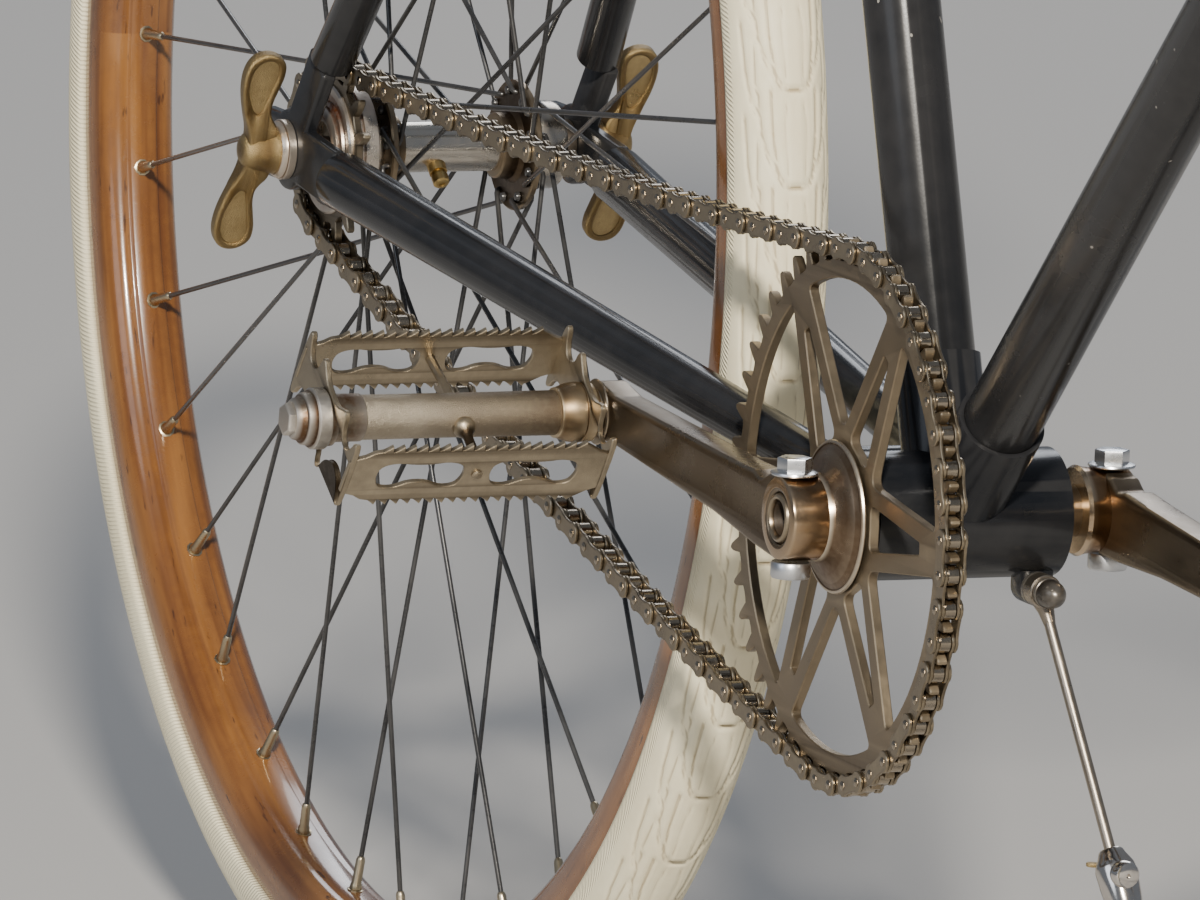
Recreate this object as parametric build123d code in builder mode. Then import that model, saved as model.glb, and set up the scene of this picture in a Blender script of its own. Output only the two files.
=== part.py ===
"""Path racing bicycle of the early 1900s, parked on its prop leg.

It is modelled upright: +X points forward, +Y to the rider's left, +Z up, with the floor
at Z = 0, the wheels in the plane Y = 0 and X = 0 midway between the two wheel axles.
Every piece is then leaned over together on to the prop leg, about the two tyres' foot.
"""

from math import asin, atan2, cos, degrees, pi, radians, sin, sqrt, tan
import os

from build123d import *

# Wheels
wheel_radius = 350.0
wheelbase = 1140.0
tyre_width = 38.0
tyre_tread_width = 17.0
tyre_seat_depth = 28.0
tyre_shoulder_drop = 11.0
tyre_shoulder_inset = 0.6
tyre_base_inset = 4.0
rim_width = 32.0
rim_depth = 20.0
rim_band_width = 11.0
rim_step = 1.4
rim_shoulder = 7.0
spoke_count = 36
spoke_crossing = 3
spoke_diameter = 2.0
spoke_head_outside = 4.1
spoke_head_inside = 2.7
spoke_seat_offset = 0.8
spoke_lace_share = 0.98

# Hubs and axles
hub_barrel_diameter = 19.5
hub_flange_diameter = 50.0
hub_flange_thickness = 3.0
hub_bell_diameter = 34.0
hub_bell_length = 4.5
hub_collar_diameter = 26.0
hub_collar_length = 9.0
spoke_circle_diameter = 42.0
axle_diameter = 9.5
axle_cone_diameter = 19.0
axle_cone_length = 5.5
rear_dropout_width = 110.0
front_dropout_width = 92.0
rear_flange_right = 26.0
rear_flange_left = 33.0
front_flange = 29.0
oiler_diameter = 9.0
oiler_height = 6.0

# Fork ends
fork_end_thickness = 6.0
fork_end_slot_length = 30.0
fork_end_slot_gap = 0.25
fork_end_boss_diameter = 31.0
fork_end_tail = 26.0

# Wing nuts
nut_washer_diameter = 23.0
nut_washer_thickness = 4.0
nut_boss_diameter = 20.0
nut_boss_length = 13.0
wing_span = 86.0
wing_width = 20.0
wing_waist = 10.0
wing_thickness = 5.0
wing_sweep = 9.0
wing_lean = 23.0
wing_root = 6.0
wing_knee = 20.0
wing_knee_rise = 4.8

# Drive
chain_pitch = 12.7
chain_links = 112
chain_sag = 6.0
ring_clearance = 2.6
chain_inner_width = 4.8
chain_plate_thickness = 1.2
chain_plate_gap = 0.05
chain_plate_height = 8.4
chain_plate_inset = 2.0
chain_roller_diameter = 7.8
ring_teeth = 48
sprocket_teeth = 16
sprocket_thickness = 3.8
tooth_height = 4.0
tooth_tip_width = 1.8
freewheel_diameter = 50.0
freewheel_width = 13.0
freewheel_lip = 2.5
freewheel_lip_diameter = 34.0
ring_band = 7.0
ring_arms = 6
ring_disc_diameter = 62.0
ring_boss_diameter = 50.0
ring_strut_width = 7.0
ring_strut_spread = 3.2

# Cranks and pedals
crank_length = 170.0
crank_angle = 176.0
crank_thickness = 12.0
crank_outset = 20.0
crank_boss_diameter = 31.0
crank_boss_gap = 3.0
crank_root_height = 24.0
crank_tip_height = 17.0
crank_eye_diameter = 25.0
spindle_diameter = 19.0
spindle_end_bore = 12.0
spindle_bore_depth = 14.0
cotter_diameter = 8.0
cotter_head = 13.0
cotter_head_height = 6.5
pedal_spindle_diameter = 10.0
pedal_length = 104.0
pedal_gap = 5.0
pedal_plate_height = 24.0
pedal_plate_thickness = 2.2
pedal_plate_spread = 58.0
pedal_pitch = 37.0
pedal_barrel_diameter = 18.0
pedal_teeth = 18
pedal_tooth_depth = 3.0
pedal_window_margin = 14.0
pedal_end_inset = 1.5
pedal_end_thickness = 2.5
pedal_end_height = 9.0
pedal_end_collar = 3.0
pedal_cap_length = 5.0
pedal_shoulder_diameter = 16.0

# Bottom bracket
bracket_drop = 60.0
shell_diameter = 47.0
shell_width = 76.0
cup_diameter = 40.0
cup_width = 4.0

# Frame tubes
seat_angle = 70.0
seat_tube_diameter = 28.6
seat_lug_rise = 43.0
seat_lug_skirt = 26.0
top_tube_diameter = 25.4
top_lug_drop = 52.0
down_tube_diameter = 28.6
head_angle = 70.0
head_tube_diameter = 32.0
head_tube_bore = 27.5
head_tube_length = 150.0
down_lug_rise = 26.0
head_crown_gap = 6.0
headset_overhang = 2.0
headset_cup_height = 10.0
headset_nut_height = 12.0
headset_nut_wall = 4.0
fork_rake = 60.0
crown_clearance = 17.0
crown_height = 24.0
lug_wall = 1.8
lug_length = 34.0
lug_ring_height = 4.0
seat_lug_lip = 4.0
braze_gap = 0.05
chain_stay_diameter = 17.2
chain_stay_end_diameter = 22.0
seat_stay_diameter = 17.0
seat_stay_drop = 40.0
stay_end_gap = 46.0
stay_bridge_diameter = 14.0
chain_bridge_reach = 64.0
seat_stay_top_spread = 19.0
seat_bridge_gap = 29.0
cup_lip = 1.5
shell_wall = 3.5
running_gap = 0.3
side_clearance = 5.0
tyre_side_clearance = 4.0

# Fork
steerer_diameter = 25.4
steerer_rise = 26.0
blade_top_diameter = 24.0
blade_top_spread = 37.0
blade_bend_length = 180.0
blade_bend_diameter = 16.0
blade_end_gap = 24.0
fork_tip_diameter = 22.0
crown_diameter = 38.0
crown_shoulder_diameter = 20.0
blade_insertion = 2.0
fork_tip_thickness = 5.0
fork_tip_overlap = 12.0

# Steering
stem_height = 60.0
stem_diameter = 22.2
stem_reach = 60.0
stem_insertion = 60.0
stem_cap = 12.0
bar_clamp_width = 44.0
bar_clamp_wall = 3.0
bar_diameter = 22.2
bar_half_width = 230.0
bar_forward = 75.0
bar_back = 95.0
bar_pitch = 18.0
bar_bend_radius = 45.0
bar_middle_half = 70.0
grip_diameter = 30.0
grip_length = 105.0
grip_end_wall = 4.0

# Seat
post_diameter = 25.4
post_height = 95.0
post_insertion = 110.0
post_bore_relief = 10.0
saddle_length = 285.0
saddle_rise = 58.0
saddle_setback = 8.0
rail_rise = 8.0
saddle_width = 165.0
saddle_nose_width = 42.0
saddle_depth = 46.0
saddle_wall = 5.0
saddle_rail_diameter = 7.0
saddle_rail_spread = 42.0
saddle_rail_bend = 18.0
saddle_rail_drop = 8.0
saddle_rail_front = 46.0
saddle_rail_back = 42.0
saddle_plate_length = 16.0
saddle_plate_depth = 14.0
saddle_nose_inset = 14.0
saddle_back_inset = 26.0
saddle_clamp_diameter = 22.0
saddle_clamp_overhang = 6.0
saddle_neck_depth = 16.0
saddle_neck_wall = 4.0

# Prop leg
lean = 3.0
leg_inset = 9.0
leg_forward = 22.0
leg_drop = 26.0
leg_splay = 6.84
leg_rake = 28.8
leg_rod_diameter = 4.2
leg_rod_length = 100.0
leg_tube_diameter = 9.0
leg_clamp_diameter = 15.0
leg_clamp_length = 28.0
leg_foot_diameter = 16.0
leg_foot_height = 14.0
leg_bolt_diameter = 6.0
leg_bolt_tail = 4.0
leg_ear_thickness = 9.0
leg_eye_diameter = 12.6
leg_eye_thickness = 7.0
leg_washer_thickness = 2.0
leg_nut_diameter = 11.0
leg_nut_length = 6.0
leg_collar_length = 8.0
leg_screw_diameter = 9.0
leg_screw_front = 11.0
leg_screw_back = 16.0

# Places worked out from the sizes above
chain_line = shell_width / 2 + ring_clearance + sprocket_thickness / 2
crank_boss_inner = chain_line + crank_boss_gap
crank_plane = chain_line + crank_outset
leg_side = shell_width / 2 - leg_inset
ring_radius = chain_pitch / (2 * sin(pi / ring_teeth))
sprocket_radius = chain_pitch / (2 * sin(pi / sprocket_teeth))


def axle_distance():
    """Distance between crank and wheel axles at which the chain hangs with its slack."""
    run = chain_pitch * (chain_links - (ring_teeth + sprocket_teeth) / 2) / 2
    for _ in range(30):
        distance = sqrt(run ** 2 + (ring_radius - sprocket_radius) ** 2)
        wrap = asin((ring_radius - sprocket_radius) / distance)
        on_ring = ring_teeth * (pi + 2 * wrap) / (2 * pi)
        on_sprocket = sprocket_teeth * (pi - 2 * wrap) / (2 * pi)
        run = chain_pitch * (chain_links - on_ring - on_sprocket) / 2 - 8 * chain_sag ** 2 / (3 * run)
    return sqrt(run ** 2 + (ring_radius - sprocket_radius) ** 2)


rear_axle_x = -wheelbase / 2
front_axle_x = wheelbase / 2
axle_z = wheel_radius
crank_x = rear_axle_x + sqrt(axle_distance() ** 2 - bracket_drop ** 2)
crank_z = axle_z - bracket_drop
crank_axle = Vector(crank_x, 0, crank_z)
rear_hub = Vector(rear_axle_x, 0, axle_z)
front_hub = Vector(front_axle_x, 0, axle_z)

steer_up = Vector(-cos(radians(head_angle)), 0, sin(radians(head_angle)))
steer_ahead = Vector(sin(radians(head_angle)), 0, cos(radians(head_angle)))
steer_foot = front_hub - steer_ahead * fork_rake
crown_base = sqrt((wheel_radius + crown_clearance) ** 2 - fork_rake ** 2)
head_base = crown_base + crown_height + head_crown_gap
head_top = head_base + head_tube_length


def on_steerer(height, ahead=0.0, side=0.0):
    """A point by its height along the steering axis, measured from beside the front axle."""
    return steer_foot + steer_up * height + steer_ahead * ahead + Vector(0, side, 0)


seat_up = Vector(-cos(radians(seat_angle)), 0, sin(radians(seat_angle)))
top_tube_front = on_steerer(head_top - top_lug_drop)
top_tube_back = crank_axle + seat_up * ((top_tube_front.Z - crank_z) / seat_up.Z)
seat_top = top_tube_back + seat_up * seat_lug_rise
down_tube_top = on_steerer(head_base + down_lug_rise)


def tube(start, end, radius, end_radius=None, mode=Mode.ADD):
    """A straight round bar between two points, tapered where two radii are given."""
    seat = (Align.CENTER, Align.CENTER, Align.MIN)
    length = (end - start).length
    with Locations(Plane(origin=start, z_dir=end - start).location):
        if end_radius is None:
            Cylinder(radius, length, align=seat, mode=mode)
        else:
            Cone(radius, end_radius, length, align=seat, mode=mode)


def across(x, z, y=0.0):
    """A plane facing right, with its own X forward and its own Y up."""
    return Plane(origin=(x, y, z), x_dir=(1, 0, 0), z_dir=(0, -1, 0))


def disc(centre, y_from, y_to, radius, mode=Mode.ADD):
    """A round slice of a part that turns about the wheel or crank axle."""
    tube(Vector(centre.X, y_from, centre.Z), Vector(centre.X, y_to, centre.Z), radius, mode=mode)


# Head tube with its two lugs
down_axis = (crank_axle - down_tube_top).normalized()
with BuildPart() as head_tube:
    socket = lug_length + head_tube_diameter / 2
    tube(down_tube_top, down_tube_top + down_axis * socket, down_tube_diameter / 2 + lug_wall)
    tube(top_tube_front, top_tube_front - Vector(socket, 0, 0), top_tube_diameter / 2 + lug_wall)
    tube(down_tube_top, down_tube_top + down_axis * socket * 1.2, down_tube_diameter / 2 + braze_gap,
         mode=Mode.SUBTRACT)
    tube(top_tube_front, top_tube_front - Vector(socket * 1.2, 0, 0), top_tube_diameter / 2 + braze_gap,
         mode=Mode.SUBTRACT)
    tube(on_steerer(head_base), on_steerer(head_top), head_tube_diameter / 2)
    for height, rise in ((head_base, lug_ring_height), (head_top, -lug_ring_height)):
        tube(on_steerer(height), on_steerer(height + rise), head_tube_diameter / 2 + lug_wall)
    tube(on_steerer(head_base - 1), on_steerer(head_top + 1), head_tube_bore / 2, mode=Mode.SUBTRACT)

# Seat lug, clamped round the post above the seat tube
with BuildPart() as seat_lug:
    lug_start = top_tube_back - seat_up * seat_lug_skirt
    top_socket = top_tube_back + Vector(lug_length + seat_tube_diameter / 2, 0, 0)
    tube(top_tube_back, top_socket, top_tube_diameter / 2 + lug_wall)
    tube(top_tube_back, top_socket + Vector(1, 0, 0), top_tube_diameter / 2 + braze_gap, mode=Mode.SUBTRACT)
    tube(lug_start, seat_top + seat_up * seat_lug_lip, seat_tube_diameter / 2 + lug_wall)
    tube(lug_start - seat_up, seat_top, seat_tube_diameter / 2 + braze_gap, mode=Mode.SUBTRACT)
    tube(seat_top - seat_up, seat_top + seat_up * (seat_lug_lip + 1), post_diameter / 2 + braze_gap,
         mode=Mode.SUBTRACT)

with BuildPart() as seat_tube:
    tube(crank_axle, seat_top, seat_tube_diameter / 2)
    disc(crank_axle, -shell_width, shell_width, shell_diameter / 2 + braze_gap, mode=Mode.SUBTRACT)
    tube(seat_top - seat_up * (post_insertion + post_bore_relief), seat_top + seat_up,
         post_diameter / 2 + braze_gap, mode=Mode.SUBTRACT)

with BuildPart() as top_tube:
    tube(top_tube_back, top_tube_front, top_tube_diameter / 2)
    tube(on_steerer(head_base), on_steerer(head_top + lug_length),
         head_tube_diameter / 2 + lug_wall + braze_gap, mode=Mode.SUBTRACT)
    tube(crank_axle, seat_top + seat_up * lug_length, seat_tube_diameter / 2 + lug_wall + braze_gap,
         mode=Mode.SUBTRACT)

with BuildPart() as down_tube:
    tube(crank_axle, down_tube_top, down_tube_diameter / 2)
    tube(on_steerer(head_base - lug_length), on_steerer(head_top),
         head_tube_diameter / 2 + lug_wall + braze_gap, mode=Mode.SUBTRACT)
    disc(crank_axle, -shell_width, shell_width, shell_diameter / 2 + braze_gap, mode=Mode.SUBTRACT)
    tube(crank_axle, crank_axle + seat_up * (shell_diameter + lug_length),
         seat_tube_diameter / 2 + lug_wall + braze_gap, mode=Mode.SUBTRACT)

# Chain stays run straight from the shell to the fork ends, past ring and tyre
ring_reach = ring_radius + tooth_height
tyre_reach = axle_distance() - wheel_radius + tyre_width / 2
stay_end = axle_distance() - stay_end_gap


def stay_radius(reach):
    """Radius of the tapered chain stay, by its distance from the crank axle."""
    return (chain_stay_diameter + (chain_stay_end_diameter - chain_stay_diameter) * reach / stay_end) / 2


stay_at_ring = chain_line - sprocket_thickness / 2 - side_clearance - stay_radius(ring_reach)
stay_at_tyre = tyre_width / 2 + tyre_side_clearance + stay_radius(tyre_reach)
stay_slope = (stay_at_tyre - stay_at_ring) / (tyre_reach - ring_reach)
stay_root = stay_at_ring - stay_slope * ring_reach
stay_line = (rear_hub - crank_axle).normalized()


def chain_stay_point(reach, side):
    """A point on a chain stay's axis, by its distance from the crank axle."""
    return crank_axle + stay_line * reach + Vector(0, side * (stay_root + stay_slope * reach), 0)


fork_end_y = rear_dropout_width / 2 + fork_end_thickness / 2
seat_stay_top = seat_top - seat_up * seat_stay_drop
seat_stay_line = (seat_stay_top - rear_hub).normalized()
seat_stay_reach = (seat_stay_top - rear_hub).length


def seat_stay_point(reach, side):
    """A point on a seat stay's axis, by its distance from the rear axle."""
    share = reach / seat_stay_reach
    spread = fork_end_y + (seat_stay_top_spread - fork_end_y) * share
    return rear_hub + seat_stay_line * reach + Vector(0, side * spread, 0)


with BuildPart() as bb_shell:
    root = shell_diameter / 2 + lug_length
    sockets = [(crank_axle, seat_up, root, seat_tube_diameter / 2),
               (crank_axle, -down_axis, root, down_tube_diameter / 2)]
    for side in (-1, 1):
        stay_start = chain_stay_point(0, side)
        stay_axis = (chain_stay_point(root, side) - stay_start).normalized()
        sockets.append((stay_start, stay_axis, root * 0.9, stay_radius(root)))
    for start, axis, length, radius in sockets:
        tube(start, start + axis * length, radius + lug_wall)
    for start, axis, length, radius in sockets:
        tube(start, start + axis * length * 1.1, radius + braze_gap, mode=Mode.SUBTRACT)
    disc(crank_axle, -shell_width / 2, shell_width / 2, shell_diameter / 2)
    ear_front = crank_x + leg_forward - leg_eye_thickness - leg_washer_thickness
    ear = Vector(ear_front, leg_side, crank_z - leg_drop)
    tube(ear - Vector(leg_ear_thickness, 0, 0), ear, leg_eye_diameter / 2)
    with Locations(ear):
        Box(leg_ear_thickness, leg_eye_diameter, shell_diameter / 4,
            align=(Align.MAX, Align.CENTER, Align.MIN))
    disc(crank_axle, -shell_width, shell_width, shell_diameter / 2 - 2 * shell_wall, mode=Mode.SUBTRACT)
    for side in (-1, 1):
        disc(crank_axle, side * (shell_width / 2 - cup_width), side * shell_width, cup_diameter / 2,
             mode=Mode.SUBTRACT)
    tube(ear - Vector(leg_ear_thickness + leg_bolt_tail + 1, 0, 0), ear + Vector(1, 0, 0),
         leg_bolt_diameter / 2 + braze_gap, mode=Mode.SUBTRACT)

with BuildPart() as bb_cups:
    for side in (-1, 1):
        disc(crank_axle, side * (shell_width / 2 - cup_width), side * (shell_width / 2 + cup_lip),
             cup_diameter / 2 - braze_gap)
    disc(crank_axle, -shell_width, shell_width, spindle_diameter / 2 + running_gap, mode=Mode.SUBTRACT)

with BuildPart() as chain_stays:
    for side in (-1, 1):
        tube(chain_stay_point(0, side), chain_stay_point(stay_end, side), chain_stay_diameter / 2,
             chain_stay_end_diameter / 2)
    tube(chain_stay_point(chain_bridge_reach, -1), chain_stay_point(chain_bridge_reach, 1),
         stay_bridge_diameter / 2)
    disc(crank_axle, -shell_width, shell_width, shell_diameter / 2 + braze_gap, mode=Mode.SUBTRACT)
    tube(crank_axle, crank_axle + seat_up * root, seat_tube_diameter / 2 + lug_wall + braze_gap,
         mode=Mode.SUBTRACT)

with BuildPart() as seat_stays:
    bridge_reach = wheel_radius + seat_bridge_gap
    for side in (-1, 1):
        tube(seat_stay_point(stay_end_gap, side), seat_stay_point(seat_stay_reach, side),
             seat_stay_diameter / 2)
    tube(seat_stay_point(bridge_reach, -1), seat_stay_point(bridge_reach, 1), stay_bridge_diameter / 2)
    tube(crank_axle, seat_top + seat_up * lug_length, seat_tube_diameter / 2 + lug_wall + braze_gap,
         mode=Mode.SUBTRACT)

# Rear fork ends: one forging a side, its slot open to the rear
with BuildPart() as fork_ends:
    slot_radius = axle_diameter / 2 + fork_end_slot_gap
    for side in (-1, 1):
        with BuildSketch(across(rear_axle_x, axle_z, side * fork_end_y + fork_end_thickness / 2)):
            Circle(fork_end_boss_diameter / 2)
            for line, diameter in ((-stay_line, chain_stay_end_diameter),
                                   (seat_stay_line, seat_stay_diameter)):
                turn = degrees(atan2(line.Z, line.X))
                with Locations(Location((line.X * stay_end_gap / 2, line.Z * stay_end_gap / 2), turn)):
                    Rectangle(stay_end_gap - 2 * braze_gap, diameter)
            with Locations((-fork_end_tail / 2, 0)):
                Rectangle(fork_end_tail, fork_end_tail)
            Circle(slot_radius, mode=Mode.SUBTRACT)
            with Locations((-fork_end_slot_length / 2, 0)):
                Rectangle(fork_end_slot_length, 2 * slot_radius, mode=Mode.SUBTRACT)
        extrude(amount=fork_end_thickness)

# Seat post and saddle
post_top = seat_top + seat_up * post_height
with BuildPart() as seat_post:
    tube(seat_top - seat_up * post_insertion, post_top, post_diameter / 2)

saddle_z = post_top.Z + saddle_rise
saddle_x = post_top.X - saddle_setback
saddle_front = saddle_x + saddle_length * 0.55
saddle_back = saddle_x - saddle_length * 0.45
rail_z = post_top.Z + rail_rise
with BuildPart() as saddle_top:
    with BuildSketch(Plane.XY.offset(saddle_z)) as saddle_outline:
        with Locations((saddle_front - saddle_nose_width / 2, 0)):
            Circle(saddle_nose_width / 2)
        with Locations((saddle_x + saddle_length * 0.2, 0)):
            Circle(saddle_nose_width * 0.65)
        rear_round = saddle_width * 0.26
        with Locations((saddle_back + rear_round, saddle_width / 2 - rear_round),
                       (saddle_back + rear_round, rear_round - saddle_width / 2)):
            Circle(rear_round)
        make_hull()
    extrude(amount=-saddle_depth)
    fillet(saddle_top.faces().sort_by(Axis.Z)[-1].edges(), saddle_wall * 2)
    with BuildSketch(Plane.XY.offset(saddle_z - saddle_wall)):
        add(saddle_outline.sketch.moved(Location((0, 0, -saddle_z))))
        offset(amount=-saddle_wall, mode=Mode.REPLACE)
    extrude(amount=-saddle_depth, mode=Mode.SUBTRACT)

with BuildPart() as saddle_frame:
    under = saddle_z - saddle_wall - running_gap
    nose_x = saddle_front - saddle_nose_width / 2 - saddle_nose_inset
    back_x = saddle_back + saddle_back_inset
    nose_spread = saddle_nose_width / 2 - saddle_wall - saddle_clamp_overhang
    for side in (-1, 1):
        spread = saddle_rail_spread / 2
        with BuildLine() as rail:
            FilletPolyline((nose_x, side * nose_spread, under - saddle_rail_drop),
                           (saddle_x + saddle_rail_front, side * spread, rail_z),
                           (saddle_x - saddle_rail_back, side * spread, rail_z),
                           (back_x, side * spread, under - saddle_rail_drop), radius=saddle_rail_bend)
        with BuildSketch(Plane(origin=rail.line @ 0, z_dir=rail.line % 0)):
            Circle(saddle_rail_diameter / 2)
        sweep(path=rail.line)
    for x, half_width in ((nose_x, nose_spread + 5), (back_x, saddle_rail_spread / 2 + 12)):
        with BuildSketch(Plane.XY.offset(under)):
            with Locations((x, 0)):
                Rectangle(saddle_plate_length, 2 * half_width)
        extrude(amount=-saddle_plate_depth)
    clamp_half = saddle_rail_spread / 2 + saddle_clamp_overhang
    tube(Vector(post_top.X, -clamp_half, rail_z), Vector(post_top.X, clamp_half, rail_z),
         saddle_clamp_diameter / 2)
    tube(post_top - seat_up * saddle_neck_depth, post_top + seat_up * 2, post_diameter / 2 + saddle_neck_wall)
    tube(post_top - seat_up * (saddle_neck_depth + 1), post_top + seat_up * 0.1,
         post_diameter / 2 + braze_gap, mode=Mode.SUBTRACT)

# Fork: crown, two raked blades, their ends and the steerer, brazed in one
tip_y = front_dropout_width / 2 + fork_tip_thickness / 2
bend_turn = 2 * atan2(fork_rake, blade_bend_length)
bend_radius = blade_bend_length / sin(bend_turn)
bend_end = bend_turn - blade_end_gap / bend_radius


def bend_point(turn):
    """A point on the blade's bend, ahead of its straight part, in the blade's own plane."""
    return bend_radius * sin(turn), bend_radius * (1 - cos(turn))


with BuildPart() as fork:
    tube(on_steerer(crown_base), on_steerer(crown_base + crown_height), crown_diameter / 2)
    for side in (-1, 1):
        blade_top = on_steerer(crown_base + crown_height - blade_insertion, side=side * blade_top_spread)
        blade_foot = on_steerer(0, side=side * tip_y)
        down = (blade_foot - blade_top).normalized()
        bend_start = blade_foot - down * blade_bend_length
        shoulder = crown_base + crown_height / 2
        tube(on_steerer(shoulder), on_steerer(shoulder, side=side * blade_top_spread),
             crown_shoulder_diameter / 2)
        tube(blade_top, bend_start, blade_top_diameter / 2, blade_bend_diameter / 2)
        blade_plane = Plane(origin=bend_start, x_dir=down, z_dir=down.cross(steer_ahead))
        with BuildLine(blade_plane) as bend:
            ThreePointArc((0, 0), bend_point(bend_end / 2), bend_point(bend_end))
        with BuildSketch(Plane(origin=bend.line @ 0, z_dir=bend.line % 0)) as blade_start:
            Circle(blade_bend_diameter / 2)
        sweep(blade_start.sketch, path=bend.line)
        blade_heading = bend.line % 1
        tip_turn = degrees(atan2(blade_heading.Z, blade_heading.X))
        with BuildSketch(across(front_axle_x, axle_z, side * tip_y + fork_tip_thickness / 2)) as tip:
            Circle(fork_tip_diameter / 2)
            blade_middle = (-blade_heading.X * blade_end_gap / 2, -blade_heading.Z * blade_end_gap / 2)
            with Locations(Location(blade_middle, tip_turn)):
                Rectangle(blade_end_gap + fork_tip_overlap, blade_bend_diameter - 2)
        extrude(tip.sketch, amount=fork_tip_thickness)
    tube(on_steerer(crown_base + 2), on_steerer(head_top + steerer_rise), steerer_diameter / 2)
    tube(on_steerer(crown_base + crown_height), on_steerer(head_top + steerer_rise + 1),
         stem_diameter / 2 + braze_gap, mode=Mode.SUBTRACT)
    disc(front_hub, -tip_y * 2, tip_y * 2, axle_diameter / 2 + 0.1, mode=Mode.SUBTRACT)

with BuildPart() as headset:
    cup_radius = head_tube_diameter / 2 + headset_overhang
    cup_top = head_top + headset_cup_height
    for start, end, radius in ((crown_base + crown_height + braze_gap, head_base - running_gap, cup_radius),
                               (head_top + running_gap, cup_top, cup_radius),
                               (cup_top, cup_top + headset_nut_height, steerer_diameter / 2 + headset_nut_wall)):
        tube(on_steerer(start), on_steerer(end), radius)
    tube(on_steerer(crown_base), on_steerer(head_top + steerer_rise), steerer_diameter / 2 + braze_gap,
         mode=Mode.SUBTRACT)

# Stem, bar and grips
stem_top = on_steerer(head_top + stem_height)
bar_centre = stem_top + Vector(stem_reach, 0, 0)
with BuildPart() as stem:
    tube(on_steerer(head_top - stem_insertion), stem_top + steer_up * stem_cap, stem_diameter / 2)
    tube(stem_top, bar_centre, stem_diameter / 2)
    clamp_end = Vector(0, bar_clamp_width / 2, 0)
    tube(bar_centre - clamp_end, bar_centre + clamp_end, bar_diameter / 2 + bar_clamp_wall)
    tube(bar_centre - clamp_end * 2, bar_centre + clamp_end * 2, bar_diameter / 2 + braze_gap,
         mode=Mode.SUBTRACT)

bar_plane = Plane(origin=bar_centre, x_dir=(0, 1, 0),
                  z_dir=(-sin(radians(bar_pitch)), 0, -cos(radians(bar_pitch))))
with BuildPart() as handlebar:
    with BuildLine(bar_plane) as bar_path:
        FilletPolyline((-bar_half_width, -bar_back), (-bar_half_width, bar_forward),
                       (-bar_middle_half, 0), (bar_middle_half, 0), (bar_half_width, bar_forward),
                       (bar_half_width, -bar_back), radius=bar_bend_radius)
    with BuildSketch(Plane(origin=bar_path.line @ 0, z_dir=bar_path.line % 0)):
        Circle(bar_diameter / 2)
    sweep(path=bar_path.line)

with BuildPart() as grips:
    for side in (-1, 1):
        grip_end = (side * bar_half_width, -bar_back - grip_end_wall, 0)
        with BuildSketch(Plane(origin=bar_plane.from_local_coords(grip_end), z_dir=bar_plane.y_dir)):
            Circle(grip_diameter / 2)
        extrude(amount=grip_length)
        bar_end = (side * bar_half_width, -bar_back, 0)
        with BuildSketch(Plane(origin=bar_plane.from_local_coords(bar_end), z_dir=bar_plane.y_dir)):
            Circle(bar_diameter / 2 + braze_gap)
        extrude(amount=grip_length, mode=Mode.SUBTRACT)


# Wheels, each from the same sections
def tyre_section():
    """Half outline of the tyre, revolved about the axle: radius along X, side along Y."""
    tread, side = tyre_tread_width / 2, tyre_width / 2 - tyre_shoulder_inset
    base, foot = wheel_radius - tyre_seat_depth, rim_width / 2 - tyre_base_inset
    Polygon((wheel_radius, -tread), (wheel_radius, tread), (wheel_radius - tyre_shoulder_drop, side),
            (base, foot), (base, -foot), (wheel_radius - tyre_shoulder_drop, -side), align=None)


def rim_section():
    """Outline of the wooden rim: convex shoulders and a flat raised band for the spokes."""
    seat = wheel_radius - tyre_seat_depth - braze_gap
    inner = wheel_radius - tyre_seat_depth - rim_depth
    edge = rim_width / 2
    band = rim_band_width / 2
    corners = [(seat, edge - 2), (seat + 3, edge), (inner + rim_shoulder, edge),
               (inner + rim_step + 1, edge - 5), (inner + rim_step, band + 1), (inner, band)]
    Polygon(*corners, *((radius, -side) for radius, side in reversed(corners)), align=None)


def wheel_plane(centre):
    """The plane of a wheel's revolved sections: own X is radial, own Y is along the axle."""
    return Plane(origin=centre, x_dir=(1, 0, 0), z_dir=(0, 0, 1))


def spoke_ends(centre, flanges):
    """Start and end of each spoke: bent head at its flange, nipple at the rim."""
    rim_radius = wheel_radius - tyre_seat_depth - rim_depth
    ends = []
    for index in range(spoke_count):
        side, pair = (1, -1)[index % 2], index // 2
        leading = (1, -1)[pair % 2]
        rim_angle = 2 * pi * index / spoke_count
        step = 4 * pi / spoke_count
        hub_angle = rim_angle + leading * spoke_crossing * step * spoke_lace_share
        flange = flanges[0] if side < 0 else flanges[1]
        head = side * (flange + (spoke_head_outside if leading > 0 else -spoke_head_inside))
        hub_radius = spoke_circle_diameter / 2
        start = Vector(hub_radius * cos(hub_angle), head, hub_radius * sin(hub_angle))
        reach = rim_radius - running_gap
        end = Vector(reach * cos(rim_angle), side * spoke_seat_offset, reach * sin(rim_angle))
        ends.append((centre + start, centre + end))
    return ends


def spoke_set(centre, flanges):
    for start, end in spoke_ends(centre, flanges):
        with BuildSketch(Plane(origin=start, z_dir=end - start)) as section:
            RegularPolygon(spoke_diameter / 2, 6)
        extrude(section.sketch, amount=(end - start).length)


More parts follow.
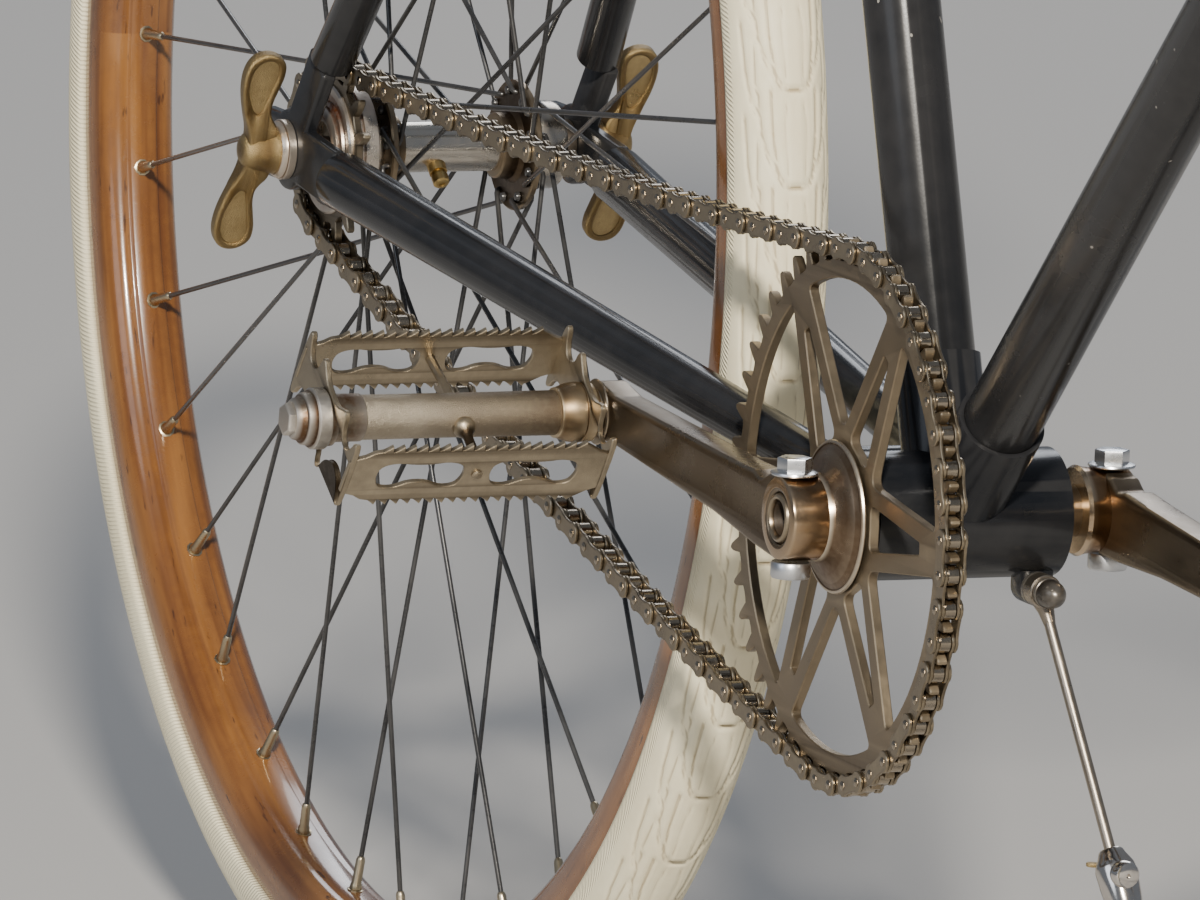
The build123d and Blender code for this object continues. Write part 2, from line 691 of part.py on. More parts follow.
def hub_shell(centre, flanges, bell_ends):
    """Hub body between its flanges, with a bell outside each one and a running bore."""
    disc(centre, -flanges[0], flanges[1], hub_barrel_diameter / 2)
    half = hub_flange_thickness / 2
    for side, flange, bell_end in ((-1, flanges[0], bell_ends[0]), (1, flanges[1], bell_ends[1])):
        disc(centre, side * (flange - half), side * (flange + half), hub_flange_diameter / 2)
        disc(centre, side * (flange - hub_collar_length), side * (flange - half), hub_collar_diameter / 2)
        disc(centre, side * (flange + half), side * bell_end, hub_bell_diameter / 2)
    tube(centre + Vector(0, 0, hub_barrel_diameter / 2 - 1),
         centre + Vector(0, 0, hub_barrel_diameter / 2 + oiler_height), oiler_diameter / 2)
    reach = max(bell_ends) + 1
    disc(centre, -reach, reach, axle_diameter / 2 + running_gap, mode=Mode.SUBTRACT)


with BuildPart() as rear_tyre:
    with BuildSketch(wheel_plane(rear_hub)):
        tyre_section()
    revolve(axis=Axis(rear_hub, (0, 1, 0)))

with BuildPart() as front_tyre:
    with BuildSketch(wheel_plane(front_hub)):
        tyre_section()
    revolve(axis=Axis(front_hub, (0, 1, 0)))

with BuildPart() as rear_rim:
    with BuildSketch(wheel_plane(rear_hub)):
        rim_section()
    revolve(axis=Axis(rear_hub, (0, 1, 0)))

with BuildPart() as front_rim:
    with BuildSketch(wheel_plane(front_hub)):
        rim_section()
    revolve(axis=Axis(front_hub, (0, 1, 0)))

with BuildPart() as rear_spokes:
    spoke_set(rear_hub, (rear_flange_right, rear_flange_left))

with BuildPart() as front_spokes:
    spoke_set(front_hub, (front_flange, front_flange))

rear_bell_right = rear_flange_right + hub_flange_thickness / 2 + hub_bell_length
with BuildPart() as rear_hub_shell:
    hub_shell(rear_hub, (rear_flange_right, rear_flange_left),
              (rear_bell_right, rear_dropout_width / 2 - axle_cone_length - running_gap))

with BuildPart() as front_hub_shell:
    front_bell = front_dropout_width / 2 - axle_cone_length - running_gap
    hub_shell(front_hub, (front_flange, front_flange), (front_bell, front_bell))


def wing_nut(centre, side, y_face):
    """Washer, boss and two outswept wings, seated on a fork end's outer face."""
    face = side * y_face
    seat = face + side * nut_washer_thickness
    disc(centre, face, seat, nut_washer_diameter / 2)
    disc(centre, seat, seat + side * nut_boss_length, nut_boss_diameter / 2)
    up = Vector(sin(radians(wing_lean)), 0, cos(radians(wing_lean)))
    for wing in (1, -1):
        radial = up * wing
        plane = Plane(origin=Vector(centre.X, seat, centre.Z), x_dir=radial,
                      z_dir=radial.cross(Vector(0, side, 0)))
        round_start = wing_span / 2 - wing_width / 2
        with BuildSketch(plane.offset(-wing_thickness / 2)) as outline:
            with BuildLine():
                Polyline((wing_root, 1), (wing_knee, wing_knee_rise), (round_start, wing_sweep))
                ThreePointArc((round_start, wing_sweep), (wing_span / 2, wing_sweep + wing_width / 2),
                              (round_start, wing_sweep + wing_width))
                Polyline((round_start, wing_sweep + wing_width), (wing_knee, wing_knee_rise + wing_waist),
                         (wing_root, nut_boss_length), (wing_root, 1))
            make_face()
        extrude(outline.sketch, amount=wing_thickness)
    disc(centre, face - side, seat + side * wing_span, axle_diameter / 2 + braze_gap, mode=Mode.SUBTRACT)


with BuildPart() as rear_wing_nuts:
    for nut_side in (-1, 1):
        wing_nut(rear_hub, nut_side, rear_dropout_width / 2 + fork_end_thickness + braze_gap)

with BuildPart() as front_wing_nuts:
    for nut_side in (-1, 1):
        wing_nut(front_hub, nut_side, front_dropout_width / 2 + fork_tip_thickness + braze_gap)

with BuildPart() as rear_axle:
    half = rear_dropout_width / 2
    end = half + fork_end_thickness + nut_washer_thickness + nut_boss_length + 1
    disc(rear_hub, -end, end, axle_diameter / 2)
    for side in (-1, 1):
        disc(rear_hub, side * (half - axle_cone_length), side * (half - braze_gap), axle_cone_diameter / 2)

with BuildPart() as front_axle:
    half = front_dropout_width / 2
    end = half + fork_tip_thickness + nut_washer_thickness + nut_boss_length + 1
    disc(front_hub, -end, end, axle_diameter / 2)
    for side in (-1, 1):
        disc(front_hub, side * (half - axle_cone_length), side * (half - braze_gap), axle_cone_diameter / 2)


# Chain, one fixed loop over ring and sprocket
def chain_pins():
    """Pin centres in order round the loop, in the plane X, Z, one pitch apart."""
    distance = axle_distance()
    wrap = asin((ring_radius - sprocket_radius) / distance)
    line = atan2(bracket_drop, rear_axle_x - crank_x)
    run = distance * cos(wrap)
    run_pitches = (run + 8 * chain_sag ** 2 / (3 * run)) / chain_pitch
    ring_pitches = ring_teeth * (pi + 2 * wrap) / (2 * pi)
    sprocket_pitches = sprocket_teeth * (pi - 2 * wrap) / (2 * pi)
    top_angle, low_angle = line - (pi / 2 - wrap), line + (pi / 2 - wrap)
    on_ring, on_sprocket = (crank_x, crank_z, ring_radius), (rear_axle_x, axle_z, sprocket_radius)
    pins = []
    for index in range(chain_links):
        along = index + 0.5
        if along < run_pitches:
            angle, start, end = top_angle, on_ring, on_sprocket
            share = along / run_pitches
        elif along < run_pitches + sprocket_pitches:
            turn = top_angle + (along - run_pitches) * 2 * pi / sprocket_teeth
            pins.append((rear_axle_x + sprocket_radius * cos(turn), axle_z + sprocket_radius * sin(turn)))
            continue
        elif along < 2 * run_pitches + sprocket_pitches:
            angle, start, end = low_angle, on_sprocket, on_ring
            share = (along - run_pitches - sprocket_pitches) / run_pitches
        else:
            turn = low_angle + (along - 2 * run_pitches - sprocket_pitches) * 2 * pi / ring_teeth
            pins.append((crank_x + ring_radius * cos(turn), crank_z + ring_radius * sin(turn)))
            continue
        ends = [(x + radius * cos(angle), z + radius * sin(angle)) for x, z, radius in (start, end)]
        sag = 4 * chain_sag * share * (1 - share)
        pins.append((ends[0][0] + share * (ends[1][0] - ends[0][0]),
                     ends[0][1] + share * (ends[1][1] - ends[0][1]) - sag))
    return pins


pins = chain_pins()
last_ring_pin = pins[-1]
ring_phase = atan2(last_ring_pin[1] - crank_z, last_ring_pin[0] - crank_x)
sprocket_pin = min(pins, key=lambda pin: (pin[0] - rear_axle_x) + abs(pin[1] - axle_z) * 0.01)
sprocket_phase = atan2(sprocket_pin[1] - axle_z, sprocket_pin[0] - rear_axle_x)


def link_places(first):
    """Middle and heading of every other link, starting from the first or second pin."""
    places = []
    for index in range(first, chain_links, 2):
        (x1, z1), (x2, z2) = pins[index], pins[(index + 1) % chain_links]
        places.append(Location(((x1 + x2) / 2, (z1 + z2) / 2), degrees(atan2(z2 - z1, x2 - x1))))
    return places


with BuildPart() as chain:
    half = chain_plate_height / 2
    reach = chain_pitch / 2
    inner = chain_inner_width / 2
    outer = inner + chain_plate_thickness + chain_plate_gap
    for first, near in ((0, inner), (1, outer)):
        for y_plane in (near, -near - chain_plate_thickness):
            with BuildSketch(across(0, 0, -chain_line + y_plane + chain_plate_thickness)):
                with Locations(*link_places(first)):
                    Rectangle(2 * (reach + half) - chain_plate_inset, chain_plate_height)
            extrude(amount=chain_plate_thickness)


def toothed_outline(teeth, phase):
    """Closed outline of a sprocket whose valleys hold the chain's rollers."""
    pitch_radius = chain_pitch / (2 * sin(pi / teeth))
    root = pitch_radius - chain_roller_diameter / 2 - running_gap
    tip = pitch_radius + tooth_height
    half_valley = chain_roller_diameter / 2 + running_gap
    points = []
    for tooth in range(teeth):
        valley = phase + tooth * 2 * pi / teeth
        peak = valley + pi / teeth
        root_step, pitch_step = half_valley * 0.42 / root, half_valley / pitch_radius
        tip_step = tooth_tip_width / 2 / tip
        for radius, angle in ((root, valley - root_step), (root, valley + root_step),
                              (pitch_radius, valley + pitch_step), (tip, peak - tip_step),
                              (tip, peak + tip_step), (pitch_radius, peak + pi / teeth - pitch_step)):
            points.append((radius * cos(angle), radius * sin(angle)))
    return points


with BuildPart() as freewheel:
    with BuildSketch(across(rear_axle_x, axle_z, -chain_line + sprocket_thickness / 2)):
        Polygon(*toothed_outline(sprocket_teeth, sprocket_phase), align=None)
    extrude(amount=sprocket_thickness)
    inner_face = rear_bell_right + running_gap
    ring_face = inner_face + freewheel_width
    disc(rear_hub, -inner_face, -ring_face, freewheel_diameter / 2)
    disc(rear_hub, -ring_face, -ring_face - freewheel_lip, freewheel_lip_diameter / 2)
    disc(rear_hub, -rear_dropout_width, 0, axle_cone_diameter / 2 + 1, mode=Mode.SUBTRACT)

# Chainring, with pairs of struts from each node of its band to the boss disc
with BuildPart() as chainring:
    with BuildSketch(across(crank_x, crank_z, -chain_line + sprocket_thickness / 2)):
        Polygon(*toothed_outline(ring_teeth, ring_phase), align=None)
        window_radius = ring_radius - chain_roller_diameter / 2 - ring_band
        Circle(window_radius, mode=Mode.SUBTRACT)
        Circle(ring_disc_diameter / 2)
        for arm in range(ring_arms):
            centre = 360 / ring_arms * arm
            for lean_side in (-1, 1):
                foot = radians(centre + lean_side * 90 / ring_arms)
                head = radians(centre + lean_side * ring_strut_spread)
                foot_radius = ring_disc_diameter / 2 - 3
                x1, y1 = foot_radius * cos(foot), foot_radius * sin(foot)
                x2, y2 = (window_radius + 2) * cos(head), (window_radius + 2) * sin(head)
                strut_turn = degrees(atan2(y2 - y1, x2 - x1))
                with Locations(Location(((x1 + x2) / 2, (y1 + y2) / 2), strut_turn)):
                    Rectangle(sqrt((x2 - x1) ** 2 + (y2 - y1) ** 2), ring_strut_width)
    extrude(amount=sprocket_thickness)
    outer_face = -chain_line - sprocket_thickness / 2
    disc(crank_axle, outer_face, -crank_boss_inner + braze_gap, ring_boss_diameter / 2)
    disc(crank_axle, -crank_plane, 0, spindle_diameter / 2 + braze_gap, mode=Mode.SUBTRACT)

# Cranks: forged arms with a boss, an eye and a cotter bolt
with BuildPart() as bottom_spindle:
    spindle_end = crank_plane + crank_thickness / 2 + 0.5
    disc(crank_axle, -spindle_end, spindle_end, spindle_diameter / 2)
    for side in (-1, 1):
        disc(crank_axle, side * (spindle_end - spindle_bore_depth), side * (spindle_end + 1),
             spindle_end_bore / 2, mode=Mode.SUBTRACT)


def crank_arm(side, angle):
    """One crank, its arm pointing along the given angle, outside the shell's end."""
    turn = radians(angle)
    eye = crank_axle + Vector(cos(turn), 0, sin(turn)) * crank_length
    outside = crank_plane + crank_thickness / 2
    with BuildSketch(across(crank_x, crank_z, side * crank_plane + crank_thickness / 2)) as arm:
        with Locations(Location((0, 0), angle)):
            Polygon((0, -crank_root_height / 2), (crank_length, -crank_tip_height / 2),
                    (crank_length, crank_tip_height / 2), (0, crank_root_height / 2), align=None)
    extrude(arm.sketch, amount=crank_thickness)
    disc(crank_axle, side * crank_boss_inner, side * outside, crank_boss_diameter / 2)
    disc(eye, side * (crank_plane - crank_thickness / 2), side * (outside + 1), crank_eye_diameter / 2)
    disc(crank_axle, 0, side * 2 * outside, spindle_diameter / 2 + braze_gap, mode=Mode.SUBTRACT)
    disc(eye, 0, side * 2 * outside, pedal_spindle_diameter / 2 + braze_gap, mode=Mode.SUBTRACT)
    middle = Vector(crank_x, side * crank_plane, crank_z)
    tube(middle - Vector(0, 0, crank_boss_diameter), middle + Vector(0, 0, crank_boss_diameter),
         cotter_diameter / 2 + braze_gap, mode=Mode.SUBTRACT)


with BuildPart() as right_crank:
    crank_arm(-1, crank_angle)

with BuildPart() as left_crank:
    crank_arm(1, crank_angle + 180)

with BuildPart() as crank_cotters:
    for side in (-1, 1):
        middle = Vector(crank_x, side * crank_plane, crank_z)
        reach = crank_boss_diameter / 2 + 0.3
        for end in (-1, 1):
            with BuildSketch(Plane(origin=middle + Vector(0, 0, end * reach), z_dir=(0, 0, end))):
                RegularPolygon(cotter_head / 2, 6)
            extrude(amount=cotter_head_height)
            tube(middle + Vector(0, 0, end * (spindle_diameter / 2 + 0.2)),
                 middle + Vector(0, 0, end * (reach + 1)), cotter_diameter / 2)


# Rat-trap pedals
def pedal_eye(side):
    turn = radians(crank_angle if side < 0 else crank_angle + 180)
    return crank_axle + Vector(cos(turn), 0, sin(turn)) * crank_length


pedal_inner = crank_plane + crank_thickness / 2 + pedal_gap
pedal_outer = pedal_inner + pedal_length


def pedal_cage(side):
    """Two toothed plates with two windows each, held by horned end plates."""
    eye = pedal_eye(side)
    pitch = radians(-pedal_pitch)
    ahead = Vector(cos(pitch), 0, sin(pitch))
    up = Vector(-sin(pitch), 0, cos(pitch))
    for plate in (-1, 1):
        middle = (eye + ahead * (plate * pedal_plate_spread / 2)
                  + Vector(0, side * (pedal_inner + pedal_outer) / 2, 0))
        plane = Plane(origin=middle, x_dir=(0, 1, 0), z_dir=ahead)
        with BuildSketch(plane.offset(-pedal_plate_thickness / 2)) as toothed:
            tooth = pedal_length / pedal_teeth
            half = pedal_plate_height / 2
            outline = []
            for edge in (1, -1):
                for index in range(pedal_teeth):
                    x = edge * (index * tooth - pedal_length / 2)
                    outline += [(x, edge * (half - pedal_tooth_depth)), (x + edge * tooth / 2, edge * half)]
                outline.append((edge * pedal_length / 2, edge * (half - pedal_tooth_depth)))
            Polygon(*outline, align=None)
            with Locations((-pedal_length / 4, 0), (pedal_length / 4, 0)):
                SlotOverall(pedal_length / 2 - pedal_window_margin, pedal_plate_height - pedal_window_margin,
                            mode=Mode.SUBTRACT)
        extrude(toothed.sketch, amount=pedal_plate_thickness)
    for y in (pedal_inner + pedal_end_inset, pedal_outer - pedal_end_inset):
        plane = Plane(origin=eye + Vector(0, side * y, 0), x_dir=ahead, z_dir=(0, -1, 0))
        with BuildSketch(plane.offset(-pedal_end_thickness / 2)) as end_plate:
            Circle(pedal_barrel_diameter / 2 + pedal_end_collar)
            Rectangle(pedal_plate_spread, pedal_end_height)
            with Locations((-pedal_plate_spread / 2 + pedal_end_collar, 0),
                           (pedal_plate_spread / 2 - pedal_end_collar, 0)):
                Rectangle(2 * pedal_end_collar, pedal_plate_height - 2 * pedal_tooth_depth)
            Circle(pedal_barrel_diameter / 2 + braze_gap, mode=Mode.SUBTRACT)
        extrude(end_plate.sketch, amount=pedal_end_thickness)


def pedal_barrel(side):
    """Turned barrel with its end caps, bored to run on the spindle."""
    eye = pedal_eye(side)
    collar = pedal_outer + pedal_end_collar
    for y_from, y_to, diameter in ((pedal_inner + 1, collar - 1, pedal_barrel_diameter),
                                   (pedal_inner - 2, pedal_inner + 0.2, pedal_barrel_diameter + 4),
                                   (pedal_outer + 0.2, collar, pedal_barrel_diameter + 2),
                                   (collar, collar + pedal_cap_length, pedal_barrel_diameter - 2)):
        disc(eye, side * y_from, side * y_to, diameter / 2)
    disc(eye, side * (pedal_inner - 3), side * (pedal_outer - 4), pedal_spindle_diameter / 2 + running_gap,
         mode=Mode.SUBTRACT)


with BuildPart() as right_pedal_cage:
    pedal_cage(-1)

with BuildPart() as left_pedal_cage:
    pedal_cage(1)

with BuildPart() as right_pedal_barrel:
    pedal_barrel(-1)

with BuildPart() as left_pedal_barrel:
    pedal_barrel(1)

with BuildPart() as pedal_spindles:
    for side in (-1, 1):
        disc(pedal_eye(side), side * (crank_plane - crank_thickness / 2), side * (pedal_outer - 6),
             pedal_spindle_diameter / 2)
        disc(pedal_eye(side), side * (crank_plane + crank_thickness / 2 + 1.1), side * (pedal_inner - 2.3),
             pedal_shoulder_diameter / 2)

# Prop leg on the left, hung from a bolt under the shell
pivot = Vector(crank_x + leg_forward, leg_side, crank_z - leg_drop)
leg_line = Vector(tan(radians(leg_rake)), tan(radians(leg_splay)), -1).normalized()
leg_root = pivot - Vector(leg_eye_thickness * 0.74, 0, 0)
floor_normal = Vector(0, -sin(radians(lean)), cos(radians(lean)))
tread_drop = tyre_tread_width / 2 * sin(radians(lean))
leg_length = (leg_root.dot(floor_normal) + tread_drop) / -leg_line.dot(floor_normal)

eye_back = pivot - Vector(leg_eye_thickness, 0, 0)
washer_back = eye_back - Vector(leg_washer_thickness, 0, 0)
bolt_back = washer_back - Vector(leg_ear_thickness + leg_bolt_tail, 0, 0)
with BuildPart() as stand_bolt:
    nut_start, nut_end = pivot + Vector(running_gap, 0, 0), pivot + Vector(leg_nut_length, 0, 0)
    tube(bolt_back, nut_end, leg_bolt_diameter / 2)
    tube(washer_back, eye_back - Vector(running_gap / 2, 0, 0), leg_eye_diameter / 2)
    tube(nut_start, nut_end, leg_nut_diameter / 2)
    tube(nut_end, nut_end + Vector(leg_nut_diameter / 2, 0, 0), leg_nut_diameter / 2, leg_nut_diameter / 6)

clamp_top = leg_root + leg_line * leg_rod_length
collar_end = clamp_top + leg_line * leg_collar_length
clamp_end = clamp_top + leg_line * leg_clamp_length
rod_end = collar_end + leg_line * leg_collar_length
with BuildPart() as stand_rod:
    tube(eye_back, pivot, leg_eye_diameter / 2)
    tube(leg_root + leg_line * leg_rod_diameter, rod_end, leg_rod_diameter / 2)
    tube(eye_back - Vector(1, 0, 0), pivot + Vector(1, 0, 0), leg_bolt_diameter / 2 + running_gap / 2,
         mode=Mode.SUBTRACT)

with BuildPart() as stand_clamp:
    tube(clamp_top, collar_end, leg_clamp_diameter / 2)
    tube(collar_end, clamp_end, leg_clamp_diameter / 2, leg_tube_diameter / 2 + 1)
    tube(collar_end - Vector(leg_screw_back, 0, 0), collar_end + Vector(leg_screw_front, 0, 0),
         leg_screw_diameter / 2)
    tube(clamp_top - leg_line, collar_end + leg_line, leg_rod_diameter / 2 + braze_gap, mode=Mode.SUBTRACT)
    tube(collar_end, clamp_end + leg_line, leg_tube_diameter / 2 + braze_gap, mode=Mode.SUBTRACT)

with BuildPart() as stand_tube:
    tube(collar_end + leg_line * running_gap, leg_root + leg_line * (leg_length - leg_foot_height),
         leg_tube_diameter / 2)
    tube(collar_end, rod_end + leg_line, leg_rod_diameter / 2 + braze_gap, mode=Mode.SUBTRACT)

foot_top = leg_root + leg_line * (leg_length - leg_foot_height - 4)
foot_end = leg_root + leg_line * leg_length
with BuildPart() as stand_foot:
    tube(foot_top, foot_end + leg_line * leg_foot_diameter / 2, leg_foot_diameter / 2)
    tube(foot_top - leg_line, foot_top + leg_line * 4, leg_tube_diameter / 2 + braze_gap, mode=Mode.SUBTRACT)
    split(bisect_by=Plane(origin=foot_end, z_dir=floor_normal), keep=Keep.TOP)

pieces = {
    "head_tube": head_tube,
    "seat_lug": seat_lug,
    "seat_tube": seat_tube,
    "top_tube": top_tube,
    "down_tube": down_tube,
    "bb_shell": bb_shell,
    "bb_cups": bb_cups,
    "chain_stays": chain_stays,
    "seat_stays": seat_stays,
    "fork_ends": fork_ends,
    "seat_post": seat_post,
    "saddle_top": saddle_top,
    "saddle_frame": saddle_frame,
    "rear_axle": rear_axle,
    "rear_wing_nuts": rear_wing_nuts,
    "chain": chain,
    "freewheel": freewheel,
    "stand_bolt": stand_bolt,
    "fork": fork,
    "headset": headset,
    "stem": stem,
    "handlebar": handlebar,
    "grips": grips,
    "front_axle": front_axle,
    "front_wing_nuts": front_wing_nuts,
    "rear_tyre": rear_tyre,
    "rear_rim": rear_rim,
    "rear_spokes": rear_spokes,
    "rear_hub": rear_hub_shell,
    "front_tyre": front_tyre,
    "front_rim": front_rim,
    "front_spokes": front_spokes,
    "front_hub": front_hub_shell,
    "bottom_spindle": bottom_spindle,
    "chainring": chainring,
    "right_crank": right_crank,
    "left_crank": left_crank,
    "crank_cotters": crank_cotters,
    "pedal_spindles": pedal_spindles,
    "right_pedal_cage": right_pedal_cage,
    "right_pedal_barrel": right_pedal_barrel,
    "left_pedal_cage": left_pedal_cage,
    "left_pedal_barrel": left_pedal_barrel,
    "stand_rod": stand_rod,
    "stand_clamp": stand_clamp,
    "stand_tube": stand_tube,
    "stand_foot": stand_foot,
}

# Lean the whole machine on to its leg, then centre it on the origin, tyres on the floor
leaned = Location((0, 0, 0), (-lean, 0, 0))
extent = Compound(children=[piece.part.moved(leaned) for piece in pieces.values()]).bounding_box()
side_shift = -(extent.min.Y + extent.max.Y) / 2
parked = Location((0, side_shift, -extent.min.Z)) * leaned

os.makedirs("parts", exist_ok=True)
for name, piece in pieces.items():
    standing = piece.part.moved(parked)
    standing.label = name
    export_step(standing, f"parts/{name}.step")

# Joint centres and seats, printed once parked
for name, place in (("crank_axle", crank_axle), ("rear_axle", rear_hub), ("front_axle", front_hub),
                    ("steering_foot", steer_foot), ("right_pedal", pedal_eye(-1)),
                    ("left_pedal", pedal_eye(1)), ("stand_bolt", pivot),
                    ("saddle", Vector(saddle_x, 0, saddle_z)), ("foot", foot_end)):
    spot = (parked * Location(place)).position
    print(f"{name} {spot.X:.4f} {spot.Y:.4f} {spot.Z:.4f}")
print(f"size {extent.size.X:.2f} {extent.size.Y:.2f} {extent.size.Z:.2f}")
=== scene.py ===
from math import acos, asin, atan2, cos, hypot, pi, radians, sin, tan

import bpy
import numpy as np
from mathutils import Matrix, Vector


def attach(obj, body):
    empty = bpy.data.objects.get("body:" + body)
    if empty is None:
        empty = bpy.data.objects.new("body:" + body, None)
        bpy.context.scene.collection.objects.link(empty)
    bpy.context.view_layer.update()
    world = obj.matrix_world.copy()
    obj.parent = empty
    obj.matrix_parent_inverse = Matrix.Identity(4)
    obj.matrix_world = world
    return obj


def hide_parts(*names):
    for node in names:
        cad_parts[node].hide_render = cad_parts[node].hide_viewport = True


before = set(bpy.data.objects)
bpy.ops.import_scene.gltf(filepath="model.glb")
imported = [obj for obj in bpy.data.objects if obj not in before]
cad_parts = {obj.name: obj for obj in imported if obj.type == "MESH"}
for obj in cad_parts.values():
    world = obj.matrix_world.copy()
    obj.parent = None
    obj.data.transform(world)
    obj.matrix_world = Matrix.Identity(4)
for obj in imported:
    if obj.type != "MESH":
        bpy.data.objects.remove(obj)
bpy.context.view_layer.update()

# The studio: a pale floor, a small key light low ahead like the sun, and two broad soft ones. The
# camera stands ahead of the machine on its right and looks back and slightly down. All is modelled
# upright in millimetres, then leaned 3 degrees with the machine on its prop leg.
lean, side_shift, lift = radians(3.0), -47.6049, 0.4449
upright_to_parked = Matrix.Translation((0, side_shift / 1000, lift / 1000)) @ Matrix.Rotation(-lean, 4, "X")
parked = upright_to_parked @ Matrix.Scale(0.001, 4)


def studio_light(name, place, aim, size, power, colour):
    """A round lamp at a place, turned to its aim."""
    light = bpy.data.lights.new(name, "AREA")
    light.shape, light.size, light.energy, light.color = "DISK", size, power, colour
    lamp = bpy.data.objects.new(name, light)
    lamp.location = place
    lamp.rotation_euler = (Vector(aim) - Vector(place)).to_track_quat("-Z", "Y").to_euler()
    bpy.context.scene.collection.objects.link(lamp)


studio_light("key_light", (5.3, -2.3, 3.7), (-0.2, 0, 0.3), 0.5, 800, (1.0, 0.94, 0.84))
studio_light("fill_light", (1.2, -4.8, 2.6), (-0.2, 0, 0.4), 3.2, 55, (0.8, 0.88, 1.0))
studio_light("back_light", (-4.0, 2.2, 3.0), (-0.3, 0, 0.4), 2.4, 60, (0.92, 0.95, 1.0))

world = bpy.data.worlds.new("studio")
bpy.context.scene.world = world
world.use_nodes = True
daylight = world.node_tree.nodes["Background"].inputs
daylight["Color"].default_value = (0.78, 0.86, 1.0, 1)
daylight["Strength"].default_value = 0.24

bpy.ops.object.select_all(action="DESELECT")
bpy.ops.mesh.primitive_grid_add(x_subdivisions=4, y_subdivisions=4, size=60)
floor = bpy.context.object
floor.name = "floor"
floor_paint = bpy.data.materials.new("pale_floor")
floor_paint.use_nodes = True
floor_surface = floor_paint.node_tree.nodes["Principled BSDF"].inputs
floor_surface["Base Color"].default_value = (0.5, 0.485, 0.465, 1)
floor_surface["Roughness"].default_value = 0.9
floor.data.materials.append(floor_paint)

photo_width, sensor_width, focal_length = 1200, 36.0, 22431
eye_upright = Vector((7245.0, -3244.1, 1566.8))
look_right, look_down = Vector((0.38458, 0.92221, 0.04039)), Vector((0.15892, -0.02304, -0.98702))
look_ahead = Vector((-0.90931, 0.386, -0.15542))
camera_data = bpy.data.cameras.new("camera")
camera_data.sensor_width = sensor_width
camera_data.lens = sensor_width * focal_length / photo_width
camera_data.clip_end = 200
camera = bpy.data.objects.new("camera", camera_data)
camera_turn = Matrix((look_right, -look_down, -look_ahead)).transposed().to_4x4()
camera.matrix_world = (Matrix.Translation(parked @ eye_upright) @ upright_to_parked.to_3x3().to_4x4()
                       @ camera_turn)
bpy.context.scene.collection.objects.link(camera)
bpy.context.scene.camera = camera


# The frame: drawn steel tubes brazed into lugs and a plain bracket shell, all stoved black and
# rubbed to a satin, with small chips to the grey undercoat. The drawn solids are right as they
# are: each is copied, welded and smoothed, and its filed edges get the round that paint leaves.
def wired(tree, kind, sockets, result=0, **settings):
    """Adds a shader node, gives each socket a value or another node's output, and hands on its result."""
    node = tree.nodes.new("ShaderNode" + kind)
    for key, value in settings.items():
        setattr(node, key, value)
    for socket, source in sockets.items():
        if isinstance(source, bpy.types.NodeSocket):
            tree.links.new(source, node.inputs[socket])
        else:
            node.inputs[socket].default_value = source
    return node.outputs[result]


def blended(tree, amount, under, over):
    """A colour laid over another by an amount."""
    return wired(tree, "Mix", {"Factor": amount, "A": under, "B": over}, "Result", data_type="RGBA")


def worn_surface_group():
    """Blends a base and a stain by two noises, brightens rubbed edges, and gives a fine height."""
    group = bpy.data.node_groups.new("worn_surface", "ShaderNodeTree")
    for way, kind, names in (("INPUT", "Color", ("Base", "Stain", "Edge")),
                             ("INPUT", "Float", ("Scale", "Spread", "Edge Wear", "Smooth", "Rough")),
                             ("OUTPUT", "Color", ("Color",)), ("OUTPUT", "Float", ("Roughness", "Height"))):
        for name in names:
            group.interface.new_socket(name, in_out=way, socket_type="NodeSocket" + kind)
    given, out = group.nodes.new("NodeGroupInput").outputs, group.nodes.new("NodeGroupOutput").inputs
    place = wired(group, "TexCoord", {}, "Object")
    noises = []
    for finer in (1.0, 9.0, 60.0):
        scale = wired(group, "Math", {0: given["Scale"], 1: finer}, operation="MULTIPLY")
        noises.append(wired(group, "TexNoise", {"Scale": scale, "Vector": place, "Detail": 5.0}))
    broad, middling, fine = noises
    both = wired(group, "Math", {0: middling, 1: 0.45, 2: broad}, operation="MULTIPLY_ADD")
    patch = wired(group, "MapRange", {"Value": both, "From Min": 0.58, "From Max": 0.86})
    amount = wired(group, "Math", {0: patch, 1: given["Spread"]}, operation="MULTIPLY")
    stained = blended(group, amount, given["Base"], given["Stain"])
    edge = wired(group, "MapRange", {"Value": wired(group, "NewGeometry", {}, "Pointiness"),
                                     "From Min": 0.505, "From Max": 0.56})
    worn = wired(group, "Math", {0: edge, 1: given["Edge Wear"]}, operation="MULTIPLY")
    broken = wired(group, "Math", {0: worn, 1: both}, operation="MULTIPLY")
    rubbed = blended(group, broken, stained, given["Edge"])
    rough = wired(group, "MapRange", {"Value": both, "From Min": 0.45, "From Max": 0.95,
                                      "To Min": given["Smooth"], "To Max": given["Rough"]})
    for socket, source in (("Color", rubbed), ("Roughness", rough), ("Height", fine)):
        group.links.new(source, out[socket])
    return group


worn_surface = worn_surface_group()


